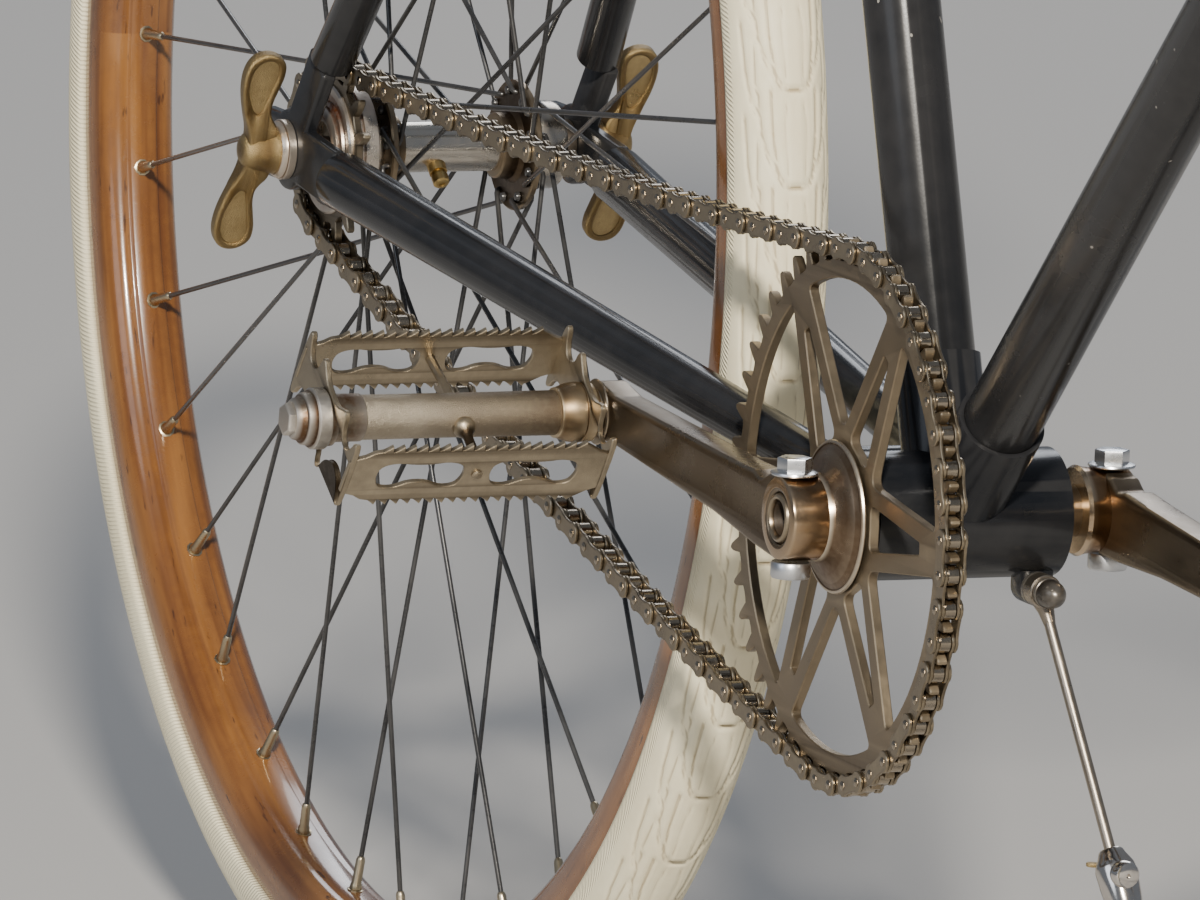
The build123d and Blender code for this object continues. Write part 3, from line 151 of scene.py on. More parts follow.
def finish(name, base, stain, edge, scale, spread, wear, smooth, rough, metal=0.0, coat=0.0, grit=0.05):
    """A worn surface: colours, how far the stain spreads, edge wear, roughness range, metal, grit."""
    material = bpy.data.materials.new(name)
    material.use_nodes = True
    tree = material.node_tree
    height = wired(tree, "Group", {"Base": (*base, 1), "Stain": (*stain, 1), "Edge": (*edge, 1),
                                   "Scale": scale, "Spread": spread, "Edge Wear": wear, "Smooth": smooth,
                                   "Rough": rough},
                   "Height", node_tree=worn_surface, name="worn")
    relief = wired(tree, "Bump", {"Strength": grit, "Distance": 0.0004, "Height": height}, name="grit")
    worn, shader = tree.nodes["worn"].outputs, tree.nodes["Principled BSDF"].inputs
    for socket, source in (("Base Color", worn["Color"]), ("Roughness", worn["Roughness"]),
                           ("Normal", relief)):
        tree.links.new(source, shader[socket])
    shader["Coat Weight"].default_value = coat
    shader["Coat Roughness"].default_value = 0.08
    shader["Metallic"].default_value = metal
    return material


def recoloured(material, colour):
    """Leads a new colour into a finish in place of its own."""
    material.node_tree.links.new(colour, material.node_tree.nodes["Principled BSDF"].inputs["Base Color"])


black_enamel = finish("black_enamel", (0.006, 0.007, 0.009), (0.014, 0.014, 0.016), (0.09, 0.085, 0.08), 14,
                      0.5, 0.3, 0.16, 0.28, coat=0.08, grit=0.04)
paint = black_enamel.node_tree
paint_place = wired(paint, "TexCoord", {}, "Object")
chip_masks = []
for chip_scale, chip_from, chip_to in ((210.0, 0.74, 0.76), (13.0, 0.54, 0.6)):
    chip_noise = wired(paint, "TexNoise", {"Vector": paint_place, "Scale": chip_scale, "Detail": 2.0})
    chip_masks.append(wired(paint, "MapRange", {"Value": chip_noise, "From Min": chip_from,
                                                "From Max": chip_to}))
chips = wired(paint, "Math", dict(enumerate(chip_masks)), operation="MULTIPLY")
undercoat = (0.3, 0.28, 0.25, 1)
recoloured(black_enamel, blended(paint, chips, paint.nodes["worn"].outputs["Color"], undercoat))
paint.nodes["Principled BSDF"].inputs["Specular IOR Level"].default_value = 0.25


def only(piece):
    """Makes a piece the one that operators act on."""
    bpy.ops.object.select_all(action="DESELECT")
    piece.select_set(True)
    bpy.context.view_layer.objects.active = piece


def applied(piece, name, kind, **values):
    """Adds a modifier with its values and applies it at once."""
    only(piece)
    modifier = piece.modifiers.new(name, kind)
    for key, value in values.items():
        setattr(modifier, key, value)
    bpy.ops.object.modifier_apply(modifier=modifier.name)


def dressed(node, material, body, round_edge=0.0004, angle=32, segments=2):
    """A welded, smoothed copy of a drawn solid, with its sharp edges rounded."""
    piece = bpy.data.objects.new(node + "_piece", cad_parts[node].data.copy())
    bpy.context.scene.collection.objects.link(piece)
    only(piece)
    bpy.ops.object.mode_set(mode="EDIT")
    bpy.ops.mesh.select_all(action="SELECT")
    bpy.ops.mesh.remove_doubles(threshold=0.00001)
    bpy.ops.mesh.dissolve_limited(angle_limit=radians(0.5))
    bpy.ops.object.mode_set(mode="OBJECT")
    applied(piece, "edge_round", "BEVEL", width=round_edge, segments=segments, limit_method="ANGLE",
            angle_limit=radians(40))
    bpy.ops.object.shade_smooth_by_angle(angle=radians(angle))
    piece.data.materials.clear()
    piece.data.materials.append(material)
    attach(piece, body)
    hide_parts(node)
    return piece


for frame_node, frame_round in (("head_tube", 0.0008), ("seat_lug", 0.0008), ("seat_tube", 0.0004),
                                ("top_tube", 0.0004), ("down_tube", 0.0004), ("bb_shell", 0.001),
                                ("chain_stays", 0.0004), ("seat_stays", 0.0004), ("fork_ends", 0.0015)):
    dressed(frame_node, black_enamel, "frame", frame_round)
dressed("fork", black_enamel, "steering", 0.001)


# The rims: one ash hoop a wheel, steamed, bent and varnished a honey brown, with rounded flanks
# and a flat raised band for the nipples. The grain runs round the hoop, with dark short pores.
bead_radius, band_radius = 322.0, 302.0
rear_hub, front_hub = Vector((-570, 0, 350)), Vector((570, 0, 350))


def merged(piece, reach):
    """Joins the points of a shape that lie within reach, and turns its faces outwards."""
    only(piece)
    bpy.ops.object.mode_set(mode="EDIT")
    bpy.ops.mesh.select_all(action="SELECT")
    bpy.ops.mesh.remove_doubles(threshold=reach)
    bpy.ops.mesh.normals_make_consistent(inside=False)
    bpy.ops.object.mode_set(mode="OBJECT")


def turned(profile, steps=48, place=Matrix.Identity(4)):
    """A lathe-turned shape about Z in millimetres, from points of height and radius."""
    bpy.ops.object.select_all(action="DESELECT")
    bpy.ops.mesh.primitive_plane_add(size=1)
    piece = bpy.context.object
    bpy.ops.object.mode_set(mode="EDIT")
    bpy.ops.mesh.select_mode(type="VERT")
    bpy.ops.mesh.select_all(action="SELECT")
    bpy.ops.mesh.merge(type="CENTER")
    bpy.ops.transform.translate(value=(profile[0][1], 0, profile[0][0]))
    for (z_from, r_from), (z_to, r_to) in zip(profile, profile[1:]):
        step = (r_to - r_from, 0, z_to - z_from)
        bpy.ops.mesh.extrude_vertices_move(TRANSFORM_OT_translate={"value": step})
    bpy.ops.mesh.select_all(action="SELECT")
    bpy.ops.mesh.spin(steps=steps, angle=2 * pi, center=(0, 0, 0), axis=(0, 0, 1))
    bpy.ops.object.mode_set(mode="OBJECT")
    merged(piece, 0.002)
    piece.data.transform(place)
    return piece


def moved(x, y, z):
    """Moves a bench shape, in millimetres."""
    return Matrix.Translation((x, y, z))


def outboard(centre, side, y=0.0):
    """Places a bench shape with its Z pointing out of the machine's right (-1) or left (1) side."""
    sideways = Matrix(((1, 0, 0, 0), (0, 0, side, 0), (0, -side, 0, 0), (0, 0, 0, 1)))
    return moved(centre[0], y, centre[2]) @ sideways


def copy_of(piece, place=Matrix.Identity(4)):
    """A further copy of a bench shape, with its own mesh, moved to a place."""
    twin = piece.copy()
    twin.data = piece.data.copy()
    twin.data.transform(place)
    bpy.context.scene.collection.objects.link(twin)
    return twin


def put_away(*patterns):
    """Clears the bench of shapes whose copies are in place."""
    for pattern in patterns:
        bpy.data.objects.remove(pattern)


def fitted(name, parts, material, body, nodes=(), place=Matrix.Identity(4), angle=35):
    """Joins bench shapes into one finished piece, leans it with the machine and fixes it there."""
    bpy.ops.object.select_all(action="DESELECT")
    for part in parts:
        part.select_set(True)
    bpy.context.view_layer.objects.active = parts[0]
    if len(parts) > 1:
        bpy.ops.object.join()
    piece = bpy.context.view_layer.objects.active
    piece.name = name
    piece.data.transform(parked @ place)
    piece.data.materials.clear()
    piece.data.materials.append(material)
    only(piece)
    bpy.ops.object.shade_smooth_by_angle(angle=radians(angle))
    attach(piece, body)
    if nodes:
        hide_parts(*nodes)
    return piece


def hoop_place(tree, hub):
    """Where a point of a wheel lies: its turn about the hub, its place across and its distance out."""
    hub_to_origin = -(Matrix.Rotation(lean, 3, "X") @ (parked @ hub))
    centred = wired(tree, "Mapping", {"Vector": wired(tree, "TexCoord", {}, "Object"),
                                      "Rotation": (lean, 0, 0), "Location": hub_to_origin})
    wired(tree, "SeparateXYZ", {0: centred}, name="hoop_axes")
    ahead, across, up = tree.nodes["hoop_axes"].outputs
    turn = wired(tree, "Math", {0: up, 1: ahead}, operation="ARCTAN2")
    out = wired(tree, "VectorMath", {0: wired(tree, "CombineXYZ", {"X": ahead, "Z": up})}, "Value",
                operation="LENGTH")
    return turn, across, out


def rim_wood(name, hub):
    """Varnished bent wood whose grain runs round the hoop and breaks at the scarf joint behind."""
    material = finish(name, (0.215, 0.085, 0.019), (0.115, 0.04, 0.009), (0.34, 0.16, 0.05), 30, 0.6, 0.1,
                      0.2, 0.34, coat=0.6, grit=0.05)
    tree = material.node_tree
    turn, across, out = hoop_place(tree, hub)
    hoop = wired(tree, "CombineXYZ", {"X": turn, "Y": across, "Z": out})
    colour = tree.nodes["worn"].outputs["Color"]
    for stretch, low, high, tint, weight in (
            ((0.9, 240, 240), 0.4, 0.66, (0.11, 0.036, 0.008, 1), 0.85),
            ((3.0, 90, 90), 0.45, 0.75, (0.42, 0.19, 0.05, 1), 0.5),
            ((22.0, 420, 420), 0.66, 0.72, (0.05, 0.016, 0.005, 1), 0.85)):
        along = wired(tree, "Mapping", {"Vector": hoop, "Scale": stretch})
        fibre = wired(tree, "TexNoise", {"Vector": along, "Scale": 1.0, "Detail": 3.0})
        streak = wired(tree, "MapRange", {"Value": fibre, "From Min": low, "From Max": high,
                                          "To Max": weight})
        colour = blended(tree, streak, colour, tint)
    recoloured(material, colour)
    return material


rim_half = [(0, band_radius), (5.2, band_radius), (5.6, 302.3), (6.0, 303.2), (6.6, 303.5), (8.4, 303.4),
            (10.6, 304.2), (12.8, 305.8), (14.6, 308.2), (15.6, 311.2), (16.0, 315.0), (16.0, 320.0),
            (15.9, 323.4), (15.5, 324.6), (14.9, 324.9), (14.5, 324.2), (14.0, bead_radius)]
rim_profile = [(-y, r) for y, r in reversed(rim_half[1:])] + rim_half + [(-14.0, bead_radius)]
for wheel, hub in (("rear", rear_hub), ("front", front_hub)):
    fitted(wheel + "_rim_hoop", [turned(rim_profile, 200)], rim_wood(wheel + "_rim_wood", hub),
           wheel + "_wheel", [wheel + "_rim"], outboard(hub, -1), 40)


# The tyres: cream rubber moulded in a herringbone of feathers, a round tipped row on the crown
# and pointed rows beside it, 61 to the turn. A band of fine slanting ribs runs above each bead.
def tyre_rubber(name, hub):
    """Cream rubber with a little road dust, the slanting ribs above the bead as fine relief, and painted
    shade darkening the tread's grooves.
    """
    material = finish(name, (0.9, 0.82, 0.58), (0.8, 0.7, 0.46), (0.95, 0.89, 0.7), 26, 0.5, 0.1, 0.5, 0.68,
                      grit=0.06)
    tree = material.node_tree
    turn, _, out = hoop_place(tree, hub)
    turns = wired(tree, "Math", {0: turn, 1: 1150.0}, operation="MULTIPLY")
    slant = wired(tree, "Math", {0: out, 1: 1600.0, 2: turns}, operation="MULTIPLY_ADD")
    ribs = wired(tree, "Math", {0: slant}, operation="SINE")
    rib_band = wired(tree, "MapRange", {"Value": out, "From Min": 0.3345, "From Max": 0.3335})
    shown = wired(tree, "Math", {0: ribs, 1: rib_band}, operation="MULTIPLY")
    relief = wired(tree, "Bump", {"Strength": 0.7, "Distance": 0.0003, "Height": shown})
    tree.links.new(relief, tree.nodes["grit"].inputs["Normal"])
    # Painted shade: the tread's concave points, its grooves, are darkened towards a dull brown that stands in
    # for the shadow in them.
    groove_shade = wired(tree, "MapRange", {"Value": wired(tree, "NewGeometry", {}, "Pointiness"),
                                      "From Min": 0.497, "From Max": 0.47, "To Max": 0.8})
    painted_groove_shade = (0.42, 0.34, 0.21, 1)
    recoloured(material, blended(tree, groove_shade, tree.nodes["worn"].outputs["Color"], painted_groove_shade))
    return material


tyre_section_radius, tyre_centre_radius, wall_foot_radius = 18.7, 331.3, 325.2
feather_count, feather_length, crown_half, scale_sink = 61, 36.0, 8.0, 0.8
wall_turn, tread_turn = acos((wall_foot_radius - tyre_centre_radius) / tyre_section_radius), radians(74)
tread_columns, wall_columns, feather_rows = 54, 5, 22
tyre_foot = np.array([(-12.0, 322.1), (-14.2, 322.3), (-15.6, 324.8), (-16.8, 325.1)])
wall = np.linspace(-wall_turn, -tread_turn, wall_columns, endpoint=False)
turns_across = np.hstack([wall, np.linspace(-tread_turn, tread_turn, tread_columns + 1), -wall[::-1]])
# Grooves of one feather, as points of distance across from the crown and along the tyre, with
# half width and depth. Each is drawn for one side and mirrored; a repeat is 36 mm long.
grooves = (
    (((-7.0, -4.0), (-5.0, -1.4), (-2.4, -0.2), (0, 0), (2.4, -0.2), (5.0, -1.4), (7.0, -4.0)), 0.95, 1.15),
    (((7.0, -4.0), (8.2, -12.0), (9.2, -22.0), (9.4, -34.0), (9.0, -40.0)), 0.8, 0.95),
    (((7.0, -4.0), (10.6, -10.5), (12.9, -17.5), (13.9, -26.0), (14.3, -38.0)), 0.8, 0.85),
    (((3.4, -3.0), (4.0, -12.0), (4.2, -24.0), (3.6, -32.0)), 0.65, 0.4),
    (((15.2, 9.0), (17.6, 2.0), (19.2, -6.0), (20.0, -16.0), (20.4, -27.0)), 0.8, 0.8),
    (((15.2, 9.0), (15.6, 0.0), (15.4, -10.0), (14.6, -20.0)), 0.75, 0.65),
)


def groove_depth(across, along):
    """How deep the tread is cut at points of one repeat, from the nearest groove line."""
    depth = np.zeros_like(across)
    for line, half_width, cut in grooves:
        for mirror in (1, -1):
            for shift in (-feather_length, 0, feather_length):
                run = [(s * mirror, t + shift) for s, t in line]
                for (s0, t0), (s1, t1) in zip(run, run[1:]):
                    ds, dt = s1 - s0, t1 - t0
                    share = np.clip(((across - s0) * ds + (along - t0) * dt) / (ds * ds + dt * dt), 0, 1)
                    away = np.hypot(across - s0 - share * ds, along - t0 - share * dt)
                    depth = np.maximum(depth, cut * np.clip(1.25 - away / half_width, 0, 1))
    return depth


rows, columns = feather_count * feather_rows, len(tyre_foot) * 2 + len(turns_across)
across_grid, along_grid = np.meshgrid(turns_across * tyre_section_radius,
                                      np.arange(feather_rows) * feather_length / feather_rows)
crown_share = np.clip(1 - np.abs(across_grid) / crown_half, 0, 1) ** 0.5
scale_slope = scale_sink * (along_grid / feather_length - 1) * crown_share
height_grid = scale_slope - groove_depth(across_grid, along_grid)
height_grid[np.abs(across_grid) > tread_turn * tyre_section_radius] = 0
near_foot, far_foot = (np.tile(edge, (feather_rows, 1, 1)) for edge in (tyre_foot, tyre_foot[::-1] * (-1, 1)))
feather = np.stack([(tyre_section_radius + height_grid) * np.sin(turns_across),
                    tyre_centre_radius + (tyre_section_radius + height_grid) * np.cos(turns_across)], axis=-1)
feather = np.hstack([near_foot, feather, far_foot, near_foot[:, :1]])
round_tyre = np.tile(feather, (feather_count, 1, 1))
across_all, out_all = np.moveaxis(np.vstack([round_tyre, round_tyre[:1]]), -1, 0)
row_turn = -2 * pi * np.arange(rows + 1)[:, None] / rows
for wheel, hub in (("rear", rear_hub), ("front", front_hub)):
    bpy.ops.object.select_all(action="DESELECT")
    bpy.ops.mesh.primitive_grid_add(x_subdivisions=columns, y_subdivisions=rows, size=1)
    tyre = bpy.context.object
    points = np.stack([hub.x + out_all * np.cos(row_turn), across_all, hub.z + out_all * np.sin(row_turn)],
                      axis=-1)
    tyre.data.vertices.foreach_set("co", points.reshape(-1).astype(np.float32))
    merged(tyre, 0.01)
    fitted(wheel + "_tyre_cover", [tyre], tyre_rubber(wheel + "_tyre_rubber", hub), wheel + "_wheel",
           [wheel + "_tyre"], angle=80)

# The spokes: 36 black steel wires a wheel, laced three cross. Each has a bent head through its
# flange and runs straight to its nipple. Four are bent, then copied nine times round the hub.
spoke_count, spoke_crossing, lace_share = 36, 3, 0.98
rear_flanges, front_flanges = (26.0, 33.0), (29.0, 29.0)
bend_outside, bend_inside, head_stand, hole_radius, wire_radius = 4.1, -2.7, 2.4, 21.0, 1.0
black_wire = finish("black_wire", (0.014, 0.014, 0.015), (0.05, 0.045, 0.04), (0.2, 0.2, 0.2), 60, 0.4,
                    0.2, 0.22, 0.36, metal=0.3, coat=0.3, grit=0.03)
nipple_brass = finish("nipple_brass", (0.42, 0.33, 0.2), (0.16, 0.1, 0.05), (0.8, 0.7, 0.5), 90, 0.8, 0.6,
                      0.2, 0.42, metal=1.0, grit=0.06)


def add_run(line, points, closed):
    """Adds straight runs through points in space to a drawn line."""
    run = line.splines.new("POLY")
    run.points.add(len(points) - 1)
    for control, point in zip(run.points, points):
        control.co = (*point, 1)
    run.use_cyclic_u = closed


def meshed(line):
    """Turns a drawn line with its thickness into a bench shape."""
    piece = bpy.data.objects.new(line.name, line)
    bpy.context.scene.collection.objects.link(piece)
    only(piece)
    bpy.ops.object.convert(target="MESH")
    piece = bpy.context.view_layer.objects.active
    merged(piece, 0.001)
    return piece


def bar_along(points, radius, sides=8):
    """A round bar that runs straight from point to point."""
    line = bpy.data.curves.new("bar", "CURVE")
    line.dimensions = "3D"
    add_run(line, points, False)
    line.bevel_depth, line.bevel_resolution, line.use_fill_caps = radius, sides // 2 - 2, True
    return meshed(line)


def aimed(point, direction):
    """Places a bench shape at a point with its Z along a direction."""
    return Matrix.Translation(point) @ Vector(direction).to_track_quat("Z", "Y").to_matrix().to_4x4()


nipple = turned([(-0.3, 0), (-0.3, 3.3), (0.3, 3.3), (0.5, 2.5), (2.2, 2.3), (3.0, 1.95), (12.0, 1.8),
                 (13.2, 1.5), (13.6, 1.1), (13.6, 0)], 10)
for wheel, hub, flanges in (("rear", rear_hub, rear_flanges), ("front", front_hub, front_flanges)):
    wires, nipples = [], []
    for index in range(4):
        side, leading = (1, -1)[index % 2], (1, -1)[index // 2 % 2]
        rim_turn = 2 * pi * index / spoke_count
        hub_turn = rim_turn + leading * spoke_crossing * 4 * pi / spoke_count * lace_share
        flange = flanges[0] if side < 0 else flanges[1]
        bend_y = side * (flange + (bend_outside if leading > 0 else bend_inside))
        head_y = side * (flange - leading * head_stand)
        hole_at = Vector((hole_radius * cos(hub_turn), 0, hole_radius * sin(hub_turn)))
        bend, head_at = hole_at + Vector((0, bend_y, 0)), hole_at + Vector((0, head_y, 0))
        seat = Vector((band_radius * cos(rim_turn), side * 0.8, band_radius * sin(rim_turn)))
        away = (bend - seat).normalized()
        outward = Vector((0, 1 if bend_y > head_y else -1, 0))
        wire = bar_along([head_at, bend - outward * 1.4, bend - outward * 0.3 - away * 0.5, bend - away * 1.8,
                          seat + away * 10], wire_radius)
        head = turned([(-1.3, 0), (-0.9, 1.5), (0, 1.9), (0.5, 1.9), (0.8, 1.0)], 8, aimed(head_at, outward))
        for group in range(spoke_count // 4):
            turn = Matrix.Rotation(-2 * pi * 4 * group / spoke_count, 4, "Y")
            wires += [copy_of(wire, turn), copy_of(head, turn)]
            nipples.append(copy_of(nipple, turn @ aimed(seat, away)))
        put_away(wire, head)
    fitted(wheel + "_spoke_wires", wires, black_wire, wheel + "_wheel", [wheel + "_spokes"],
           Matrix.Translation(hub), 50)
    fitted(wheel + "_nipples", nipples, nipple_brass, wheel + "_wheel", (), Matrix.Translation(hub))
put_away(nipple)

# The hubs: bright turned steel barrels between bronzed flanges, with a dust bell at each end and
# a stepped brass oil cup on the barrel. They are turned and polished, and brown at the flanges.
bore_radius, flange_half, flange_radius = 5.06, 1.5, 25.0
hub_steel = finish("hub_steel", (0.46, 0.42, 0.36), (0.26, 0.19, 0.12), (0.8, 0.76, 0.68), 45, 0.8, 0.6,
                   0.14, 0.34, metal=1.0, grit=0.03)
oiler_brass = finish("oiler_brass", (0.5, 0.33, 0.1), (0.26, 0.15, 0.05), (0.8, 0.62, 0.3), 60, 0.7, 0.6,
                     0.22, 0.4, metal=1.0, grit=0.05)


def hub_end(flange, bell):
    """Flange and bell at one end of a hub, from the barrel's collar out and back to the bore."""
    flange_profile = [(-9.4, 9.2), (-9.3, 11.8), (-8.6, 12.6), (-3.4, 13), (-1.7, 14.6), (-flange_half, 24.2),
                      (-0.9, flange_radius), (0.9, flange_radius), (flange_half, 24.2), (1.6, 17.4),
                      (1.6, 9.2), (-9.4, 9.2)]
    joint = flange + flange_half
    return [(flange + z, r) for z, r in flange_profile], [
        (joint, bore_radius), (joint, 16.6), (joint + 0.9, 17), (bell - 2.6, 16.9), (bell - 0.9, 16.2),
        (bell - 0.2, 14.6), (bell, 10.2), (bell - 1.2, 9.8), (bell - 1.4, bore_radius), (joint, bore_radius)]


flange_bronze = finish("browned_flange", (0.1, 0.07, 0.042), (0.05, 0.032, 0.02), (0.42, 0.33, 0.22), 50,
                       0.9, 0.8, 0.24, 0.44, metal=0.95, grit=0.1)
oil_cup = turned([(9.2, 0), (9.2, 3.6), (12.8, 3.5), (13.0, 2.9), (14.4, 2.9), (14.6, 3.3), (17.6, 3.2),
                  (18.2, 2.6), (18.4, 1.4), (17.9, 1.0), (17.9, 0)], 20)
oiler_aim, oiler_y, barrel_radius = (0.72, 0, -0.69), -2.0, 9.75
for wheel, hub, (right_flange, left_flange), bells in (("rear", rear_hub, rear_flanges, (32.0, 49.2)),
                                                       ("front", front_hub, front_flanges, (40.2, 40.2))):
    barrel_profile = [(-left_flange, bore_radius), (-left_flange, barrel_radius),
                      (right_flange, barrel_radius), (right_flange, bore_radius), (-left_flange, bore_radius)]
    flange_parts, bell_parts = [], []
    for side, flange, bell in ((-1, right_flange, bells[0]), (1, left_flange, bells[1])):
        for profile, parts in zip(hub_end(flange, bell), (flange_parts, bell_parts)):
            parts.append(turned(profile, 64, outboard(hub, side)))
    hub_barrel = turned(barrel_profile, 64, outboard(hub, -1))
    fitted(wheel + "_hub_shell", [hub_barrel, *bell_parts], hub_steel, wheel + "_wheel",
           [wheel + "_hub"], angle=30)
    fitted(wheel + "_hub_flanges", flange_parts, flange_bronze, wheel + "_wheel", (), angle=30)
    fitted(wheel + "_oiler", [copy_of(oil_cup, aimed(hub + Vector((0, oiler_y, 0)), oiler_aim))], oiler_brass,
           wheel + "_wheel")
put_away(oil_cup)

# The axles: turned steel shafts with a cone at each end of the hub. The fork ends hold them still,
# and their solids are used as drawn, oiled and dark.
dark_steel = finish("oiled_steel", (0.13, 0.105, 0.085), (0.06, 0.04, 0.03), (0.4, 0.34, 0.27), 60, 0.9, 0.7,
                    0.28, 0.5, metal=0.95, grit=0.08)
dressed("rear_axle", dark_steel, "frame")
dressed("front_axle", dark_steel, "steering")

# The wing nuts: S shaped bronze castings with a sunk panel in each wing, its border filed bright.
# Each draws up on two nickelled washers. One wing is cast, and the other seven are its copies.
cast_bronze = finish("cast_bronze", (0.19, 0.115, 0.038), (0.085, 0.048, 0.018), (0.66, 0.5, 0.25), 55, 1.0,
                     0.9, 0.24, 0.44, metal=0.95, grit=0.9)
washer_nickel = finish("washer_nickel", (0.46, 0.37, 0.28), (0.26, 0.17, 0.11), (0.88, 0.82, 0.72), 80, 0.7,
                       0.6, 0.22, 0.4, metal=0.9, grit=0.06)
wing_lean = radians(23.0)


def eased(points, rounds=2):
    """Cuts the corners of a closed outline, round after round, until it flows."""
    for _ in range(rounds):
        cut = []
        for (x0, y0), (x1, y1) in zip(points, points[1:] + points[:1]):
            cut += [(0.75 * x0 + 0.25 * x1, 0.75 * y0 + 0.25 * y1),
                    (0.25 * x0 + 0.75 * x1, 0.25 * y0 + 0.75 * y1)]
        points = cut
    return points


def plate(outline, holes, thickness, round_edge=0.3, segments=1, place=Matrix.Identity(4)):
    """A plate cut to a flat outline with holes, centred on its thickness, its edges rounded."""
    line = bpy.data.curves.new("plate", "CURVE")
    line.dimensions, line.fill_mode = "2D", "BOTH"
    for points in (outline, *holes):
        add_run(line, [(x, y, 0) for x, y in points], True)
    line.extrude, line.bevel_depth = thickness / 2 - round_edge, round_edge
    line.bevel_resolution, line.offset = segments - 1, -round_edge
    piece = meshed(line)
    piece.data.transform(place)
    return piece


wing_outline = eased([(-2, 1.6), (6, 0.8), (11, 1.0), (15.2, 4.4), (20.5, 5.2), (28, 3.4), (34, 2.0),
                      (40, 2.6), (43.6, 8.6), (42.2, 15.4), (36, 18.6), (27, 18.4), (17, 15.8), (10, 13.0),
                      (4.5, 12.0), (-2, 12.6)], 3)
panel = eased([(17, 9.2), (21, 8.0), (28, 6.4), (34, 5.0), (38.6, 5.6), (40.6, 9.0), (39.2, 13.4),
               (34.6, 15.8), (27.6, 15.8), (21.6, 13.8), (17.4, 11.6)], 2)
rimmed = plate(wing_outline, (panel,), 5.0, 1.1, 3)
backing = plate(panel, (), 3.4, 0.2, 1, Matrix.Scale(1.06, 4) @ moved(-1.6, -0.6, 0))
only(rimmed)
backing.select_set(True)
bpy.ops.object.join()
wing = bpy.context.view_layer.objects.active
root_length, root_swell = 17.0, 1.1
for vertex in wing.data.vertices:
    vertex.co.z *= 1 + root_swell * max(0, 1 - vertex.co.x / root_length) ** 0.8
stack_height = 5.4
wing.data.transform(Matrix(((1, 0, 0, 0), (0, 0, -1, 0), (0, 1, 0, stack_height), (0, 0, 0, 1))))
nut_boss = turned([(stack_height, 0), (stack_height, 8.9), (6.0, 9.2), (7.6, 9.0), (10, 8.2), (14, 7.4),
                   (17.2, 6.4), (18.6, 4.6), (19.0, 2.4), (19.1, 0)], 40)
washers = turned([(0, 5.0), (0, 11.2), (0.3, 11.5), (2.9, 11.5), (3.2, 11.1), (3.25, 10.7), (3.5, 10.9),
                  (4.9, 10.3), (stack_height, 9.6), (stack_height, 5.0), (0, 5.0)], 56)
for wheel, hub, body, face_y in (("rear", rear_hub, "frame", 61.05), ("front", front_hub, "steering", 51.05)):
    nut_parts, washer_parts = [], []
    for side in (-1, 1):
        seat = outboard(hub, side, side * face_y)
        for half_turn in (0, pi):
            turn = Matrix.Rotation(half_turn - side * (pi / 2 - wing_lean), 4, "Z")
            nut_parts.append(copy_of(wing, seat @ turn))
        nut_parts.append(copy_of(nut_boss, seat))
        washer_parts.append(copy_of(washers, seat))
    fitted(wheel + "_wing_nut_castings", nut_parts, cast_bronze, body, [wheel + "_wing_nuts"])
    fitted(wheel + "_nut_washers", washer_parts, washer_nickel, body)
put_away(wing, nut_boss, washers)

# The chain: half inch pitch roller chain, oiled and gone dark, with bright worn pin ends. It is
# one loop of 112 links that hangs with a little slack between the ring and the freewheel.
chain_pitch, chain_links, chain_sag, chain_line = 12.7, 112, 6.0, 42.5
ring_teeth, sprocket_teeth = 48, 16
crank_axle = Vector((-69.9379, 0, 290))
ring_radius = chain_pitch / (2 * sin(pi / ring_teeth))
sprocket_radius = chain_pitch / (2 * sin(pi / sprocket_teeth))
chain_dark = finish("oiled_chain", (0.055, 0.041, 0.028), (0.025, 0.017, 0.011), (0.4, 0.33, 0.23), 70, 0.9,
                    0.9, 0.22, 0.42, metal=0.95, grit=0.06)
pin_bright = finish("worn_pins", (0.21, 0.165, 0.11), (0.085, 0.06, 0.036), (0.7, 0.62, 0.5), 120, 0.8, 0.5,
                    0.12, 0.3, metal=1.0, grit=0.03)


def chain_pins():
    """Pin centres in order round the loop, forward and up, one pitch apart."""
    distance = hypot(crank_axle.x - rear_hub.x, crank_axle.z - rear_hub.z)
    wrap = asin((ring_radius - sprocket_radius) / distance)
    line = atan2(rear_hub.z - crank_axle.z, rear_hub.x - crank_axle.x)
    run = distance * cos(wrap)
    run_pitches = (run + 8 * chain_sag ** 2 / (3 * run)) / chain_pitch
    sprocket_pitches = sprocket_teeth * (pi - 2 * wrap) / (2 * pi)
    top_turn, low_turn = line - (pi / 2 - wrap), line + (pi / 2 - wrap)
    ring, sprocket = (crank_axle.x, crank_axle.z, ring_radius), (rear_hub.x, rear_hub.z, sprocket_radius)
    places = []
    for link in range(chain_links):
        along = link + 0.5
        on_sprocket, on_low_run = along - run_pitches, along - run_pitches - sprocket_pitches
        if on_low_run > run_pitches or 0 < on_sprocket < sprocket_pitches:
            x, z, radius = ring if on_low_run > run_pitches else sprocket
            turn = (low_turn + (on_low_run - run_pitches) * 2 * pi / ring_teeth if on_low_run > run_pitches
                    else top_turn + on_sprocket * 2 * pi / sprocket_teeth)
            places.append((x + radius * cos(turn), z + radius * sin(turn)))
            continue
        turn, ends, share = ((top_turn, (ring, sprocket), along / run_pitches) if along < run_pitches
                             else (low_turn, (sprocket, ring), on_low_run / run_pitches))
        (x0, z0), (x1, z1) = [(x + radius * cos(turn), z + radius * sin(turn)) for x, z, radius in ends]
        places.append((x0 + share * (x1 - x0), z0 + share * (z1 - z0) - 4 * chain_sag * share * (1 - share)))
    return places


